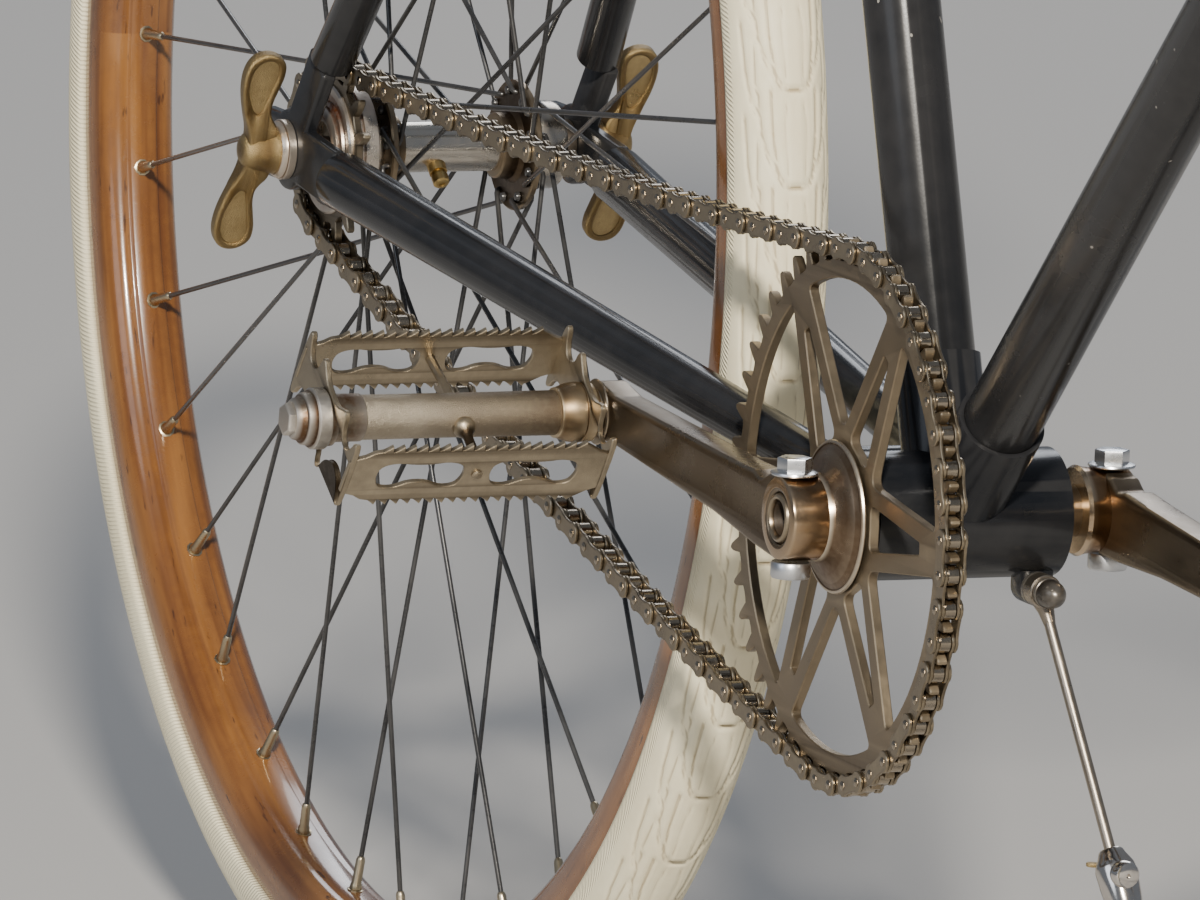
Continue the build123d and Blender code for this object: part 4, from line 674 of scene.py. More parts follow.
pins = chain_pins()
round_end, waist, inner_row, outer_row = 4.2, 3.05, 3.0, 4.25
link_end = [(chain_pitch / 2 + round_end * cos(radians(turn)), round_end * sin(radians(turn)))
            for turn in range(-126, 127, 28)]
link_outline = link_end + [(0, waist)] + [(-x, -y) for x, y in link_end] + [(0, -waist)]
link_plate = plate(link_outline, (), 1.15, 0.28)
roller = turned([(-2.3, 1.8), (-2.3, 3.5), (-1.9, 3.85), (1.9, 3.85), (2.3, 3.5), (2.3, 1.8),
                 (-2.3, 1.8)], 12)
pin = turned([(-5.5, 0), (-5.35, 1.1), (-4.95, 1.75), (4.95, 1.75), (5.35, 1.1), (5.5, 0)], 10)
links, chain_pin_parts = [], []
for index, (x0, z0) in enumerate(pins):
    x1, z1 = pins[(index + 1) % chain_links]
    middle = moved((x0 + x1) / 2, (z0 + z1) / 2, chain_line)
    heading = Matrix.Rotation(atan2(z1 - z0, x1 - x0), 4, "Z")
    row = (inner_row, outer_row)[index % 2]
    links += [copy_of(link_plate, middle @ heading @ moved(0, 0, away)) for away in (row, -row)]
    chain_pin_parts += [copy_of(turning, moved(x0, z0, chain_line)) for turning in (roller, pin)]
chain_place = outboard((0, 0, 0), -1)
fitted("chain_links", links, chain_dark, "frame", ["chain"], chain_place)
fitted("chain_pins_and_rollers", chain_pin_parts, pin_bright, "frame", (), chain_place)
put_away(link_plate, roller, pin)


# The freewheel: a 16 tooth block on a body turned in steps, its outer ring plated and its teeth
# dark with oil. It is screwed on the hub's right end.
def toothed(teeth, pitch_circle, phase, tooth_height=4.0, tip_width=1.8, valley=4.2):
    """Outline of a sprocket whose valleys hold the chain's rollers."""
    root, tip = pitch_circle - valley, pitch_circle + tooth_height
    one_tooth = ((root + 0.5, -0.75 * valley / root), (root, -0.3 * valley / root),
                 (root, 0.3 * valley / root), (root + 0.5, 0.75 * valley / root),
                 (pitch_circle, valley / pitch_circle),
                 (tip - 1.2, pi / teeth - tip_width * 0.8 / tip), (tip, pi / teeth - tip_width * 0.3 / tip),
                 (tip, pi / teeth + tip_width * 0.3 / tip), (tip - 1.2, pi / teeth + tip_width * 0.8 / tip),
                 (pitch_circle, 2 * pi / teeth - valley / pitch_circle))
    valleys = [phase + tooth * 2 * pi / teeth for tooth in range(teeth)]
    return [(radius * cos(middle + turn), radius * sin(middle + turn))
            for middle in valleys for radius, turn in one_tooth]


sprocket_pin = min(pins, key=lambda place: (place[0] - rear_hub.x) + abs(place[1] - rear_hub.z) * 0.01)
sprocket_phase = atan2(sprocket_pin[1] - rear_hub.z, sprocket_pin[0] - rear_hub.x)
ring_phase = atan2(pins[-1][1] - crank_axle.z, pins[-1][0] - crank_axle.x)
sprocket = plate(toothed(sprocket_teeth, sprocket_radius, sprocket_phase), (), 3.0, 0.4, 1,
                 moved(0, 0, chain_line))
fitted("freewheel_teeth", [sprocket], chain_dark, "frame", (), outboard(rear_hub, -1))
rusted_steel = finish("rusted_steel", (0.36, 0.32, 0.27), (0.2, 0.065, 0.022), (0.75, 0.7, 0.62), 70, 1.0,
                      0.8, 0.18, 0.5, metal=0.85, grit=0.1)
block = turned([(32.4, 10.6), (32.4, 24.2), (33.0, 25), (38.2, 25), (38.5, 24.2), (39.2, 24.2), (39.5, 25),
                (44.6, 25), (45.3, 24.2), (45.3, 21.6), (44.7, 21.2), (44.7, 18.6), (45.6, 18.2),
                (46.2, 17.0), (47.4, 17), (47.8, 16.4), (47.8, 13.2), (47.0, 12.9), (47.0, 10.6),
                (32.4, 10.6)], 56)
fitted("freewheel_block", [block], rusted_steel, "frame", ["freewheel"],
       outboard(rear_hub, -1))


# The chainring: nickelled steel gone brown, 48 teeth, with six pairs of flared struts cut from the
# plate. Its windows have rounded corners and filed walls, and it is riveted behind the crank's bell.
aged_nickel = finish("brown_nickel", (0.098, 0.07, 0.042), (0.05, 0.031, 0.017), (0.46, 0.37, 0.25), 26,
                     0.9, 0.8, 0.26, 0.5, metal=0.9, grit=0.12)


def filleted(points, radii, steps=5):
    """Rounds each corner of a closed outline with its own radius."""
    rounded = []
    for (x0, y0), (x1, y1), (x2, y2), radius in zip(points[-1:] + points[:-1], points,
                                                    points[1:] + points[:1], radii):
        corner, before, after = Vector((x1, y1)), Vector((x0 - x1, y0 - y1)), Vector((x2 - x1, y2 - y1))
        if radius == 0:
            rounded.append((x1, y1))
            continue
        half = before.angle(after) / 2
        reach = min(radius / tan(half), before.length * 0.48, after.length * 0.48)
        first, last = corner + before.normalized() * reach, corner + after.normalized() * reach
        for step in range(steps + 1):
            share = step / steps
            point = first * (1 - share) ** 2 + corner * 2 * share * (1 - share) + last * share ** 2
            rounded.append((point.x, point.y))
    return rounded


window_radius, strut_width = 86.2, 7.0
foot_radius, foot_angle, node_radius, node_angle = 29.0, radians(24.5), 86.0, radians(2.6)
vee_radius, vee_top_radius, corner_round, arch_round = 28.0, 73.0, 4.0, 5.5
arm_count, rim_steps = 6, 12
arm_angle = 2 * pi / arm_count


def on_circle(radius, angle):
    """A point of the plate by its distance from the middle and its angle."""
    return Vector((radius * cos(angle), radius * sin(angle)))


strut_foot, strut_node = on_circle(foot_radius, foot_angle), on_circle(node_radius, node_angle)
along = (strut_node - strut_foot).normalized()
across = Vector((-along.y, along.x)) * strut_width / 2
share = (vee_top_radius - strut_foot.x) / (strut_node.x - strut_foot.x)
vee_top = strut_foot + (strut_node - strut_foot) * share - across
top_half, foot_half = max(vee_top.y, 0.9), strut_foot.y - 3.4
vee = filleted([(28.5, 0), (vee_radius, foot_half), (vee_top.x, top_half), (vee_top.x, -top_half),
                (vee_radius, -foot_half)], (0, corner_round, 1.0, 1.0, corner_round))
outer_foot = strut_foot + across
band_point = outer_foot + along * ((window_radius - outer_foot.length) * 1.03)
band_angle = atan2(band_point.y, band_point.x)
off_axis = atan2(outer_foot.y, outer_foot.x) - arm_angle / 2
slope = atan2(along.y, along.x) - arm_angle / 2
valley_radius = outer_foot.length * (cos(off_axis) - sin(off_axis) / tan(slope))
arch = [tuple(on_circle(valley_radius, arm_angle / 2))]
arch += [tuple(on_circle(window_radius, band_angle + (arm_angle - 2 * band_angle) * step / rim_steps))
         for step in range(rim_steps + 1)]
arch = filleted(arch, [5.0, arch_round] + [0.0] * (rim_steps - 1) + [arch_round])
windows = [[(x * cos(arm * arm_angle) - y * sin(arm * arm_angle),
             x * sin(arm * arm_angle) + y * cos(arm * arm_angle))
            for x, y in window] for arm in range(arm_count) for window in (vee, arch)]
ring_plate = plate(toothed(ring_teeth, ring_radius, ring_phase), windows, 3.8, 0.45, 1,
                   moved(0, 0, chain_line))
fitted("chainring_plate", [ring_plate], aged_nickel, "cranks", ["chainring"],
       outboard(crank_axle, -1), 30)

# The cranks: forged steel arms with a filed flat face, lost nickel and polished by use at the
# boss. The right boss ends in a bell that carries the ring. A flat below the bolt is filed in.
crank_length, crank_turn, crank_plane = 170.0, radians(176), 62.5
crank_steel = finish("crank_steel", (0.078, 0.051, 0.029), (0.04, 0.024, 0.013), (0.6, 0.5, 0.36), 22, 0.9,
                     0.8, 0.2, 0.42, metal=0.95, grit=0.06)
polished_boss = finish("polished_boss", (0.34, 0.2, 0.095), (0.17, 0.086, 0.036), (0.85, 0.7, 0.5), 30, 0.9,
                       0.7, 0.1, 0.28, metal=1.0, grit=0.02)
bell_nickel = finish("bell_nickel", (0.21, 0.15, 0.098), (0.11, 0.066, 0.037), (0.8, 0.7, 0.55), 40, 0.9, 0.9,
                     0.2, 0.4, metal=0.95, grit=0.04)


def round_of(radius, sides, x=0.0):
    """A round outline, or a hexagon where it has six sides."""
    return [(x + radius * cos(2 * pi * i / sides), radius * sin(2 * pi * i / sides)) for i in range(sides)]


arm_outline = filleted([(6, 15.3), (22, 14.6), (60, 11.4), (crank_length - 14, 8.8), (crank_length + 2, 11.0),
                        (crank_length + 12.3, 8.2), (crank_length + 12.3, -7.2), (crank_length + 3, -11.2),
                        (crank_length - 14, -8.8), (42, -11.4), (25, -12.2), (18, -10.2), (11, -14.2),
                        (-3, -15.3), (-14.8, -6.0), (-14.8, 6.0), (-3, 15.3)],
                       (8, 30, 60, 16, 9, 7, 7, 9, 16, 30, 5, 6, 4, 9, 9, 9, 9), 6)
arm_forging = plate(arm_outline, (round_of(9.4, 40), round_of(5.1, 40, crank_length)), 12.0, 1.6, 3)
boss = turned([(47.6, 9.5), (47.6, 15.6), (49.0, 16.6), (51.5, 15.9), (55, 15.5), (67.2, 15.5), (68.2, 15.1),
               (68.6, 14.2), (68.6, 11.2), (68.2, 10.6), (67.4, 10.2), (67.0, 9.5), (47.6, 9.5)], 64)
bell = turned([(45.5, 9.5), (45.5, 27.4), (46.2, 28.0), (46.9, 27.7), (47.2, 26.8), (47.0, 26.2),
               (47.3, 25.4), (48.6, 24.0), (50.0, 21.2), (51.2, 18.2), (52.6, 16.4), (54.6, 15.6),
               (54.6, 9.5), (45.5, 9.5)], 72)
eye_collar = turned([(6.0, 5.2), (6.0, 11.6), (6.6, 12.2), (7.0, 11.8), (7.0, 5.2), (6.0, 5.2)], 40)
arm_turns = {-1: crank_turn, 1: crank_turn + pi}
for side, name in ((-1, "right_crank"), (1, "left_crank")):
    place = outboard(crank_axle, side)
    arm_parts = [copy_of(arm_forging, moved(0, 0, crank_plane)),
                 copy_of(eye_collar, moved(crank_length, 0, crank_plane))]
    fitted(name + "_arm", arm_parts, crank_steel, "cranks", [name],
           place @ Matrix.Rotation(-side * arm_turns[side], 4, "Z"), 30)
    fitted(name + "_boss", [copy_of(boss)], polished_boss, "cranks", (), place, 30)
    if side < 0:
        fitted(name + "_bell", [copy_of(bell)], bell_nickel, "cranks", (), place, 30)
put_away(arm_forging, boss, bell, eye_collar)

# The spindle: a hard turned shaft, each end faced inside the boss with a bright rim about the
# dark recess that a centre punch has marked.
spindle_profile = [(0, 9.45), (66.6, 9.45), (67.6, 9.2), (68.6, 8.6), (69.0, 7.8), (68.6, 7.0), (67.4, 6.4),
                   (56.0, 6.0), (55.2, 5.0), (55.2, 2.2), (57.4, 1.6), (58.0, 0)]
whole_spindle = [(-z, r) for z, r in reversed(spindle_profile[1:])] + spindle_profile
dark_bore = finish("dark_bore", (0.03, 0.024, 0.018), (0.05, 0.03, 0.015), (0.1, 0.08, 0.06), 90, 0.7, 0.3,
                   0.4, 0.7, metal=0.5, grit=0.1)
bore_parts = [turned([(67.2, 6.3), (66.6, 5.9), (57.0, 5.8), (56.4, 5.0), (56.4, 2.4), (58.6, 1.7),
                      (59.0, 0.6), (59.0, 0)], 40, outboard(crank_axle, side)) for side in (-1, 1)]
fitted("spindle_recesses", bore_parts, dark_bore, "cranks")
fitted("spindle_shaft", [turned(whole_spindle, 48)], crank_steel, "cranks", ["bottom_spindle"],
       outboard(crank_axle, -1), 30)

# The cotter bolts: zinced hexagons with a flange on top and plain round nuts below, drawn up
# against the flats of each boss.
zinc = finish("zinc_plate", (0.58, 0.6, 0.62), (0.4, 0.4, 0.4), (0.82, 0.83, 0.85), 70, 0.6, 0.5, 0.22, 0.42,
              metal=1.0, grit=0.05)
hex_head = plate(round_of(6.4, 6), (), 5.2, 0.5, 2, moved(0, 0, 19.6))
hex_dome = turned([(21.8, 0), (21.8, 5.0), (22.2, 4.4), (22.25, 0)], 24)
flange_washer = turned([(15.7, 0), (15.7, 8.4), (16.2, 8.8), (16.8, 8.6), (17.4, 7.0), (17.4, 0)], 40)
round_nut = turned([(15.9, 0), (15.9, 6.9), (16.5, 7.3), (21.0, 7.3), (21.8, 6.8), (22.0, 5.8),
                    (22.0, 0)], 40)
spanner_turn, upside_down = Matrix.Rotation(radians(12), 4, "Z"), Matrix.Rotation(pi, 4, "X")
bolt_parts = []
for side in (-1, 1):
    middle = moved(crank_axle.x, side * crank_plane, crank_axle.z)
    bolt_parts += [copy_of(part, middle @ spanner_turn) for part in (hex_head, hex_dome, flange_washer)]
    bolt_parts.append(copy_of(round_nut, middle @ upside_down))
fitted("cotter_bolts", bolt_parts, zinc, "cranks", ["crank_cotters"])
put_away(hex_head, hex_dome, flange_washer, round_nut)

# The pedals: rat traps. Two plates with filed teeth stand on a barrel that runs on the crank's
# spindle, held by forged end plates with turned up horns. Nickel, worn and rusted at the cap.
pedal_inner, pedal_outer, plate_reach = 73.5, 177.5, 29.0
pedal_nickel = finish("pedal_nickel", (0.085, 0.063, 0.039), (0.045, 0.03, 0.017), (0.5, 0.42, 0.3), 34,
                      0.9, 0.9, 0.22, 0.46, metal=0.95, grit=0.3)
barrel_nickel = finish("barrel_nickel", (0.19, 0.15, 0.098), (0.1, 0.066, 0.036), (0.62, 0.55, 0.44), 60,
                       1.0, 0.8, 0.26, 0.5, metal=0.9, grit=0.9)
golden_nickel = finish("golden_nickel", (0.25, 0.175, 0.095), (0.14, 0.085, 0.042), (0.8, 0.66, 0.45), 50,
                       0.8, 0.7, 0.24, 0.42, metal=0.95, grit=0.05)
pale_nickel = finish("pale_nickel", (0.23, 0.195, 0.15), (0.12, 0.066, 0.034), (0.75, 0.72, 0.66), 60, 1.0,
                     0.8, 0.24, 0.5, metal=0.9, grit=0.2)
tooth_pitch, tooth_deep, flat_half, plate_half = 4.5, 2.5, 40.5, 15.0
tooth_count = int(2 * flat_half / tooth_pitch)
filed_tooth = ((0, -tooth_deep), (0.8, -tooth_deep * 0.95), (2.0, -tooth_deep * 0.6), (3.1, -0.5), (3.9, 0.1),
               (4.2, -0.9))
teeth_edge = [((tooth - tooth_count / 2) * tooth_pitch + x, plate_half + y)
              for tooth in range(tooth_count) for x, y in filed_tooth]
upper = [(-52, 7.4), (-50.5, 8.6), (-46, 10.0), (-43, 12.0), *teeth_edge, (43, 12.4), (46, 10.4), (50.5, 8.6),
         (52, 7.4)]
cage_outline = [(x, -y) for x, y in upper] + upper[::-1]
window = eased([(-16.4, -3.6), (-14.6, -5.9), (-9.0, -6.3), (-3.6, -3.4), (3.6, -3.4), (9.0, -6.3),
                (14.6, -5.9), (16.4, -3.6), (17.4, 0.6), (16.0, 5.0), (10.0, 6.5), (3.8, 5.4), (-3.8, 5.4),
                (-10.0, 6.5), (-16.0, 5.0), (-17.4, 0.6)], 2)
cage_plate = plate(cage_outline, [[(x + shift, y) for x, y in window] for shift in (-22.4, 22.4)], 2.0)
half_end = eased([(0, 12.0), (6, 12.4), (10.5, 15.4), (13.2, 17.4), (15.2, 15.8), (15.6, 10.6), (18.4, 7.0),
                  (22.4, 6.8), (25.6, 10.4), (27.2, 15.4), (30.0, 15.8), (30.6, 8), (30.6, -8),
                  (30.0, -15.8), (27.2, -15.4), (25.2, -9.4), (21, -6.0), (16, -6.4), (11.5, -10.0),
                  (9.0, -16.0), (6.4, -19.4), (4.2, -17.4), (3.2, -13.0), (0, -12.2)], 2)
end_outline = [p for p in half_end if p[0] > 0] + [(-x, y) for x, y in reversed(half_end) if x > 0]
end_plate = plate(end_outline, (round_of(9.2, 24),), 2.2, 0.4)
middle_out = (pedal_inner + pedal_outer) / 2
barrel = turned([(pedal_inner - 2.0, 5.3), (pedal_inner - 2.0, 8.4), (pedal_inner + 8.0, 8.4),
                 (pedal_inner + 12.0, 8.3), (middle_out, 8.2), (pedal_outer - 14.5, 8.3),
                 (pedal_outer - 14.5, 0), (pedal_outer - 16.0, 0), (pedal_outer - 16.0, 5.3),
                 (pedal_inner - 2.0, 5.3)])
inner_bell = turned([(-2.0, 8.2), (-2.0, 10.4), (-1.2, 11.0), (2.6, 11.0), (3.0, 10.6), (3.4, 11.2),
                     (4.6, 11.2), (8.0, 10.7), (11.0, 9.6), (11.6, 9.4), (12.4, 9.3), (12.6, 8.2),
                     (-2.0, 8.2)], 48, moved(0, 0, pedal_inner))
outer_sleeve = turned([(-14.6, 0), (-14.6, 8.5), (-14.2, 8.8), (-3.0, 8.9), (-2.8, 10.2), (-0.4, 10.3),
                       (-0.2, 11.0), (0.4, 11.4), (4.6, 11.3), (5.4, 10.6), (5.5, 9.9), (6.0, 9.9),
                       (8.4, 9.5), (8.8, 9.0), (8.9, 8.3), (11.4, 7.6), (12.4, 6.6), (12.5, 0), (-14.6, 0)],
                      48, moved(0, 0, pedal_outer))
cap_nut = plate(round_of(6.3, 6), (), 3.6, 0.9, 3, moved(0, 0, pedal_outer + 13.4))
brace = bar_along([(1.0 - plate_reach, 0.5, middle_out + 1), (-14, 1.5, middle_out),
                   (-5.5, 2.0, middle_out)], 1.9, 10)
stem_place = moved(4.6, 2.0, middle_out - 1) @ Matrix.Rotation(pi / 2, 4, "Y")
stem = turned([(0, 0), (0.4, 2.4), (1.8, 3.9), (3.6, 4.4), (5.4, 3.9), (7.0, 2.4), (9.0, 1.8), (17.0, 1.9),
               (20.6, 2.8), (22.6, 4.2), (23.2, 4.4), (23.4, 0)], 20, stem_place)
rivet = turned([(0, 0), (0, 2.1), (0.5, 2.1), (1.1, 1.6), (1.5, 0.8), (1.6, 0)], 16)
stood = Matrix(((0, 0, 1, 0), (0, 1, 0, 0), (-1, 0, 0, middle_out), (0, 0, 0, 1)))
pedal_tilt = radians(37)


def crank_eye(side):
    """The eye of an arm, where its pedal spindle is screwed in."""
    return crank_axle + Vector((cos(arm_turns[side]), 0, sin(arm_turns[side]))) * crank_length


for side, name in ((-1, "right_pedal"), (1, "left_pedal")):
    place = outboard(crank_eye(side), side) @ Matrix.Rotation(pedal_tilt * side, 4, "Z")
    cage_parts = []
    for facing in (-1, 1):
        reach = facing * plate_reach
        outward = Matrix.Rotation(facing * pi / 2, 4, "Y")
        cage_parts += [copy_of(cage_plate, moved(reach, 0, 0) @ stood),
                       copy_of(rivet, moved(reach * 1.035, 0, middle_out) @ outward)]
    cage_parts += [copy_of(end_plate, moved(0, 0, out)) for out in (pedal_inner + 1.4, pedal_outer - 1.4)]
    cage_parts += [copy_of(brace), copy_of(stem)]
    fitted(name + "_cage_plates", cage_parts, pedal_nickel, name, [name + "_cage"], place, 32)
    for part_name, patterns, surface, nodes in (
            ("_turned_barrel", (barrel,), barrel_nickel, [name + "_barrel"]),
            ("_inner_bell", (inner_bell,), golden_nickel, ()),
            ("_outer_sleeve", (outer_sleeve, cap_nut), pale_nickel, ())):
        fitted(name + part_name, [copy_of(pattern) for pattern in patterns], surface, name,
               nodes, place, 32)
put_away(cage_plate, end_plate, barrel, inner_bell, outer_sleeve, cap_nut, brace, stem, rivet)

# The pedal spindles: turned shafts with a stepped shoulder screwed up against the crank's eye.
# They turn with the arms, and the barrels run on them.
shoulder = turned([(56.5, 0), (56.5, 5.0), (69.6, 5.0), (69.6, 8.6), (69.9, 9.2), (70.5, 9.2), (70.8, 8.6),
                   (71.1, 8.4), (71.2, 5.0), (171.0, 5.0), (171.5, 4.4), (171.5, 0)], 40)
spindle_parts = [copy_of(shoulder, outboard(crank_eye(side), side)) for side in (-1, 1)]
put_away(shoulder)
fitted("pedal_spindle_shafts", spindle_parts, hub_steel, "cranks", ["pedal_spindles"])

# The bracket cups: hardened steel rings at the shell's ends, pressed in flush and left bright
# at the lip, where oil and road dust have browned them.
dressed("bb_cups", hub_steel, "frame", 0.0006)

# The stand bolt: a black steel bolt through an ear under the shell, with a washer and a domed
# black nut that is drawn up on the leg's eye.
stand_pivot, rod_head = Vector((-47.9379, 29.0, 264.0)), Vector((-53.1179, 29.0, 264.0))
leg_forward, leg_outward = radians(28.8), radians(6.84)
leg_line = Vector((tan(leg_forward), tan(leg_outward), -1)).normalized()
on_bolt = aimed(stand_pivot, (1, 0, 0))
black_nut_steel = finish("blackened_steel", (0.05, 0.045, 0.04), (0.09, 0.07, 0.05), (0.3, 0.28, 0.25), 70,
                         0.6, 0.7, 0.2, 0.38, metal=0.7, coat=0.2, grit=0.05)
dome = turned([(0.3, 0), (0.3, 5.5), (2.2, 5.5), (2.4, 5.2), (5.6, 5.1), (7.2, 4.7), (9.2, 3.7), (10.6, 2.3),
               (11.3, 0.9), (11.4, 0)], 32, on_bolt)
shank = turned([(-22.0, 0), (-22.0, 2.7), (-21.4, 3.0), (-9.2, 3.0), (-9.0, 6.3), (-7.2, 6.3), (-7.0, 3.0),
                (6, 3.0), (6, 0)], 28, on_bolt)
fitted("stand_pivot_bolt", [dome, shank], black_nut_steel, "frame", ["stand_bolt"])

# The leg: a thin steel rod flattened at its head round the bolt. It enters a plated conical clamp
# that grips the tube below with a thumb screw, so that the leg can be set to the ground.
leg_steel = finish("leg_steel", (0.17, 0.135, 0.1), (0.09, 0.055, 0.032), (0.62, 0.56, 0.47), 60, 0.9, 0.6,
                   0.22, 0.42, metal=0.95, grit=0.06)
chrome = finish("plated_clamp", (0.62, 0.58, 0.53), (0.4, 0.31, 0.23), (0.9, 0.88, 0.84), 40, 0.6, 0.5, 0.1,
                0.26, metal=1.0, grit=0.02)
rod_length, rod_in_clamp, rod_radius = 100.0, 16.0, 2.1
eye = turned([(-7.0, 3.15), (-7.0, 5.8), (-6.5, 6.3), (-0.5, 6.3), (0.0, 5.8), (0.0, 3.15), (-7.0, 3.15)],
             36, on_bolt)
shaft = bar_along([rod_head + leg_line * 5.0, rod_head + leg_line * (rod_length + rod_in_clamp)],
                  rod_radius, 16)
swell = turned([(4.6, 0), (4.6, 4.2), (8.0, 3.0), (13.0, 2.2), (14, 0)], 20, aimed(rod_head, leg_line))
fitted("stand_leg_rod", [eye, swell, shaft], leg_steel, "stand", ["stand_rod"])

clamp_top = rod_head + leg_line * rod_length
screw_at = clamp_top + leg_line * 8.0
clamp_body = turned([(0, 2.15), (0, 4.0), (0.6, 4.6), (2.2, 5.2), (4.4, 6.4), (6.0, 7.2), (7.4, 7.5),
                     (14, 7.3), (20, 6.7), (27.2, 5.7), (28, 5.4), (28, 4.55), (8.2, 4.55), (8.0, 2.15),
                     (0, 2.15)], 48, aimed(clamp_top, leg_line))
screw = turned([(-8, 0), (-8, 4.2), (5.4, 4.5), (5.6, 5.0), (7.4, 5.2), (9.6, 5.0), (10.6, 4.4), (11.0, 3.4),
                (11.0, 0.9), (9.8, 0.8), (9.8, 0)], 32, aimed(screw_at, (1, 0, 0)))
fitted("stand_clamp_body", [clamp_body, screw], chrome, "stand", ["stand_clamp"])
thumb_outline = eased([(-3.5, 0), (-4.2, 3.5), (-8.6, 6.4), (-9.6, 10.6), (-6.0, 13.0), (-1.6, 9.6), (0, 7.6),
                       (1.6, 9.6), (6.0, 13.0), (9.6, 10.6), (8.6, 6.4), (4.2, 3.5), (3.5, 0)], 2)
on_edge = Matrix(((1, 0, 0, 0), (0, 0, -1, 0), (0, 1, 0, 0), (0, 0, 0, 1)))
thumb = plate(thumb_outline, (), 2.8, 0.9, 2,
              aimed(screw_at - Vector((8.2, 0, 0)), (-1, 0, 0)) @ on_edge @ Matrix.Scale(0.6, 4))
fitted("stand_thumb_screw", [thumb], cast_bronze, "stand")

# The tube below the clamp: plated thin steel that slides in it to set the leg's length, with a
# moulded rubber foot pushed on its end. Their solids are used as drawn.
dressed("stand_tube", chrome, "stand", 0.0003)
foot_rubber = finish("foot_rubber", (0.02, 0.02, 0.021), (0.06, 0.055, 0.05), (0.09, 0.085, 0.08), 40, 0.7,
                     0.3, 0.6, 0.85, grit=0.3)
dressed("stand_foot", foot_rubber, "stand", 0.0016, segments=3)

# The steering: a nickelled headset of turned rings, a stem let into the fork with a short arm
# ahead, and a bar bent in one sweep, all in one worn plating. Their solids are used as drawn.
for steering_node, steering_round in (("headset", 0.0009), ("stem", 0.0009), ("handlebar", 0.0002)):
    dressed(steering_node, aged_nickel, "steering", steering_round)


# The grips: a strip of hide wound round each bar end in fourteen turns, its edges skived, and
# closed over the tube's end. It is handled brown, and rubbed paler along the turns' edges.
def hide(name, base, dark, pale, coat):
    """Leather with a fine pebbled grain."""
    material = finish(name, base, dark, pale, 30, 0.7, 0.6, 0.35, 0.6, coat=coat, grit=0.5)
    tree = material.node_tree
    pebbles = wired(tree, "TexVoronoi", {"Vector": wired(tree, "TexCoord", {}, "Object"), "Scale": 900.0},
                    "Distance")
    relief = wired(tree, "Bump", {"Strength": 0.5, "Distance": 0.0003, "Height": pebbles})
    tree.links.new(relief, tree.nodes["grit"].inputs["Normal"])
    return material


bar_centre, bar_slope, grip_start, grip_half_span = Vector((367.70, 0, 895.23)), radians(18.0), 95.0, 230.0
grip_hide = hide("grip_hide", (0.2, 0.1, 0.045), (0.09, 0.04, 0.018), (0.4, 0.24, 0.12), 0.1)
grip_turns, grip_reach, grip_thick, tube_radius = 14, 105.0, 15.0, 11.2
step = (grip_reach - 4.0) / grip_turns
wrap_profile = [(-4.0, 0), (-4.0, 12.0), (-3.2, 14.0), (-1.6, 14.9), (0.8, grip_thick - 0.1)]
for start in (2.0 + turn * step for turn in range(grip_turns)):
    wrap_profile += [(start, grip_thick - 0.9), (start + 0.8, grip_thick - 0.25),
                     (start + step * 0.5, grip_thick), (start + step - 0.8, grip_thick - 0.25)]
wrap_profile += [(grip_reach - 0.8, grip_thick - 0.1), (grip_reach, grip_thick - 1.0),
                 (grip_reach, tube_radius), (0, tube_radius), (0, 0)]
wrapping = turned(wrap_profile, 40)
back_line = Vector((-cos(bar_slope), 0, sin(bar_slope)))
grip_middle = bar_centre + back_line * grip_start
wraps = [copy_of(wrapping, aimed(grip_middle + Vector((0, side * grip_half_span, 0)), -back_line))
         for side in (-1, 1)]
put_away(wrapping)
fitted("grip_wrapping", wraps, grip_hide, "steering", ["grips"])

# The seat post and frame: a plated post carries a clamp across, which holds two bent wire rails
# between a nose plate and a back plate. The wires are drawn round and blacked.
dressed("seat_post", chrome, "frame", 0.0006)
dressed("saddle_frame", dark_steel, "frame", 0.0006)

# The seat: one thick hide, blocked wet over a form. It is crowned, hollow at the waist, rolled over
# at the back and turned down in a skirt, and copper rivets fix it to the plates at both ends.
saddle_top_z, saddle_nose, saddle_tail = 977.6, -150.3, -435.3
nose_half, wing_half, wing_round, back_roll, hide_thick = 21.0, 81.5, 42.0, 7.0, 4.4
shoulder_power, hide_columns, hide_steps = 0.55, 40, 44
nose_height, nose_drop = -0.8, 6.0
saddle_line = ((saddle_tail, 0.0), (-290.0, -5.0), (-178.0, nose_height))
skirt_line = ((saddle_tail, -31.0), (-388.0, -44.5), (-278.0, -35.0), (-165.0, -41.0))


def flowing(x, points):
    """Height at x on a line that passes level through each of its points."""
    for (x0, z0), (x1, z1) in zip(points, points[1:]):
        if x <= x1:
            return z0 + (z1 - z0) * (1 - cos(pi * min(max((x - x0) / (x1 - x0), 0), 1))) / 2
    return points[-1][1]


def half_width(x):
    """Half the hide's width: a round nose, a waist that sweeps out to the wings, and round corners."""
    nose_centre, corner_end = saddle_nose - nose_half, saddle_tail + wing_round
    if x > nose_centre:
        return nose_half * max(1 - ((x - nose_centre) / nose_half) ** 2, 0) ** 0.5
    share = min((nose_centre - x) / (nose_centre - corner_end), 1)
    swept = nose_half + (wing_half - nose_half) * sin(pi / 2 * share ** 1.35) ** 1.6
    corner_cut = wing_round - max(wing_round ** 2 - max(corner_end - x, 0) ** 2, 0) ** 0.5
    return swept - corner_cut


def hide_row(x, height):
    """One section across the hide, from skirt edge to skirt edge."""
    half, depth = half_width(x), height - flowing(x, skirt_line)
    row = []
    for column in range(hide_columns + 1):
        angle = pi / 2 * (2 * column / hide_columns - 1)
        across = abs(sin(angle)) ** shoulder_power * (1 if angle > 0 else -1)
        drop = depth * (1 - max(cos(angle), 0) ** shoulder_power)
        row.append((x, half * across, saddle_top_z + height - drop))
    return row


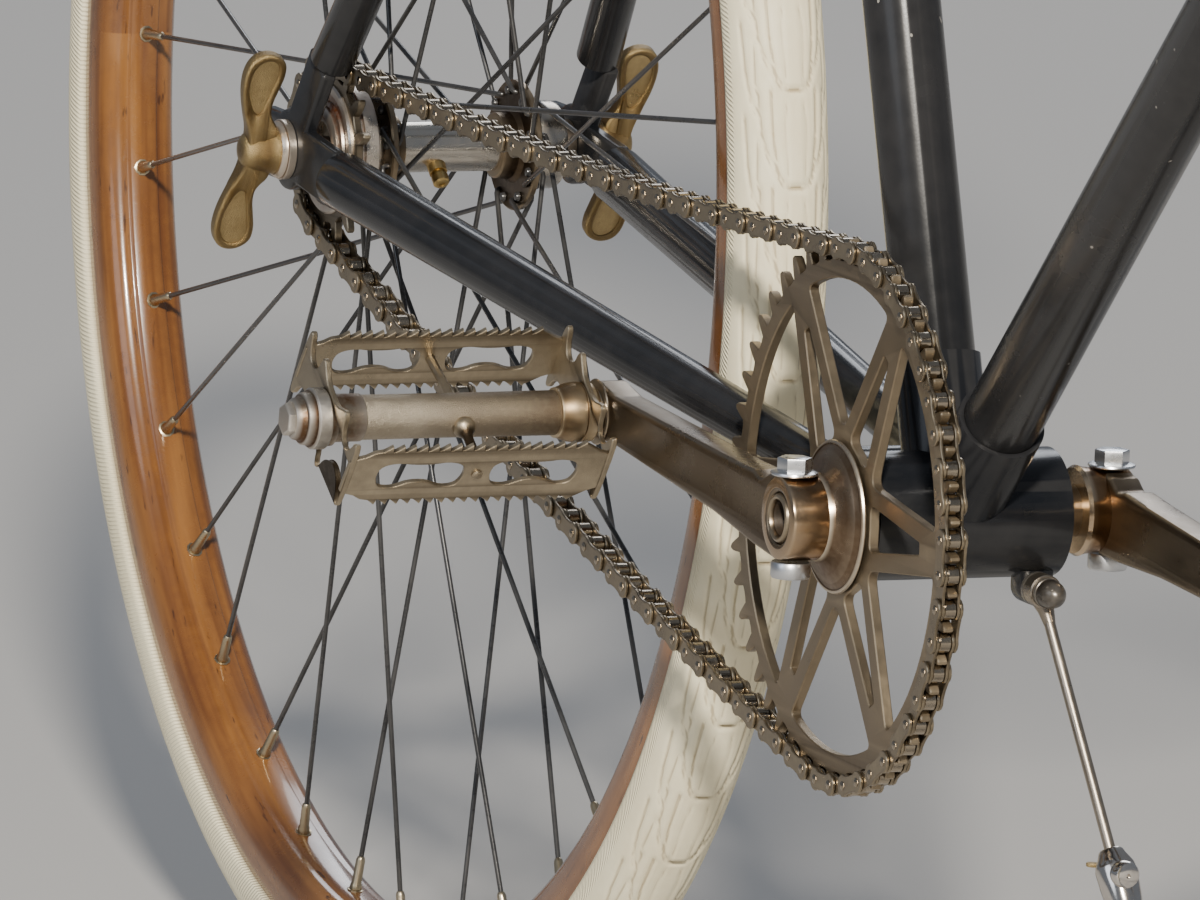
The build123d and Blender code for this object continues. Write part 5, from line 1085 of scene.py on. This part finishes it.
back_rows = [hide_row(saddle_tail, height) for height in (-29.0, -22.0, -15.0, -10.0)]
roll_rows = [hide_row(saddle_tail + back_roll * (1 - cos(radians(turn))),
                      -back_roll * (1 - sin(radians(turn))))
             for turn in (0, 22, 45, 67)]
length_start, length_end = saddle_tail + back_roll, saddle_nose - nose_half
length_rows = [hide_row(x, flowing(x, saddle_line))
               for x in (length_start + (length_end - length_start) * step / hide_steps
                         for step in range(hide_steps + 1))]
nose_rows = [hide_row(length_end + nose_half * sin(radians(turn)),
                      nose_height - nose_drop * (1 - cos(radians(turn))))
             for turn in (11, 22, 34, 45, 56, 67, 79, 90)]
hide_points = np.array(back_rows + roll_rows + length_rows + nose_rows)
bpy.ops.object.select_all(action="DESELECT")
bpy.ops.mesh.primitive_grid_add(x_subdivisions=hide_columns, y_subdivisions=len(hide_points) - 1, size=1)
blocked_hide = bpy.context.object
blocked_hide.data.vertices.foreach_set("co", hide_points.reshape(-1).astype(np.float32))
merged(blocked_hide, 0.05)
if sum(face.normal.z * face.area for face in blocked_hide.data.polygons) < 0:
    blocked_hide.data.flip_normals()
applied(blocked_hide, "thickness", "SOLIDIFY", thickness=hide_thick, offset=-1)
applied(blocked_hide, "cut_edge", "BEVEL", width=1.0, segments=2, limit_method="ANGLE",
        angle_limit=radians(55))
saddle_hide = hide("saddle_hide", (0.15, 0.06, 0.028), (0.07, 0.028, 0.014), (0.3, 0.15, 0.08), 0.15)
fitted("saddle_top_hide", [blocked_hide], saddle_hide, "frame", ["saddle_top"], angle=60)

rivet_head = turned([(-1.4, 0), (-1.4, 4.4), (0.3, 4.2), (1.2, 3.0), (1.7, 1.4), (1.8, 0)], 24)
rivets = []
for x, y in ((saddle_nose - 13, 0), (saddle_nose - 22, 9), (saddle_nose - 22, -9), (saddle_tail + 13, 0),
             (saddle_tail + 16, 22), (saddle_tail + 16, -22), (saddle_tail + 24, 44),
             (saddle_tail + 24, -44)):
    height = flowing(x, saddle_line)
    slope_sine = (abs(y) / half_width(x)) ** (1 / shoulder_power)
    drop = (height - flowing(x, skirt_line)) * (1 - (1 - slope_sine ** 2) ** (shoulder_power / 2))
    rivets.append(copy_of(rivet_head, moved(x, y, saddle_top_z + height - drop)))
put_away(rivet_head)
copper = finish("copper_rivets", (0.52, 0.24, 0.12), (0.25, 0.1, 0.05), (0.8, 0.5, 0.34), 90, 0.6, 0.6,
                0.22, 0.4, metal=1.0, grit=0.05)
fitted("saddle_rivets", rivets, copper, "frame")
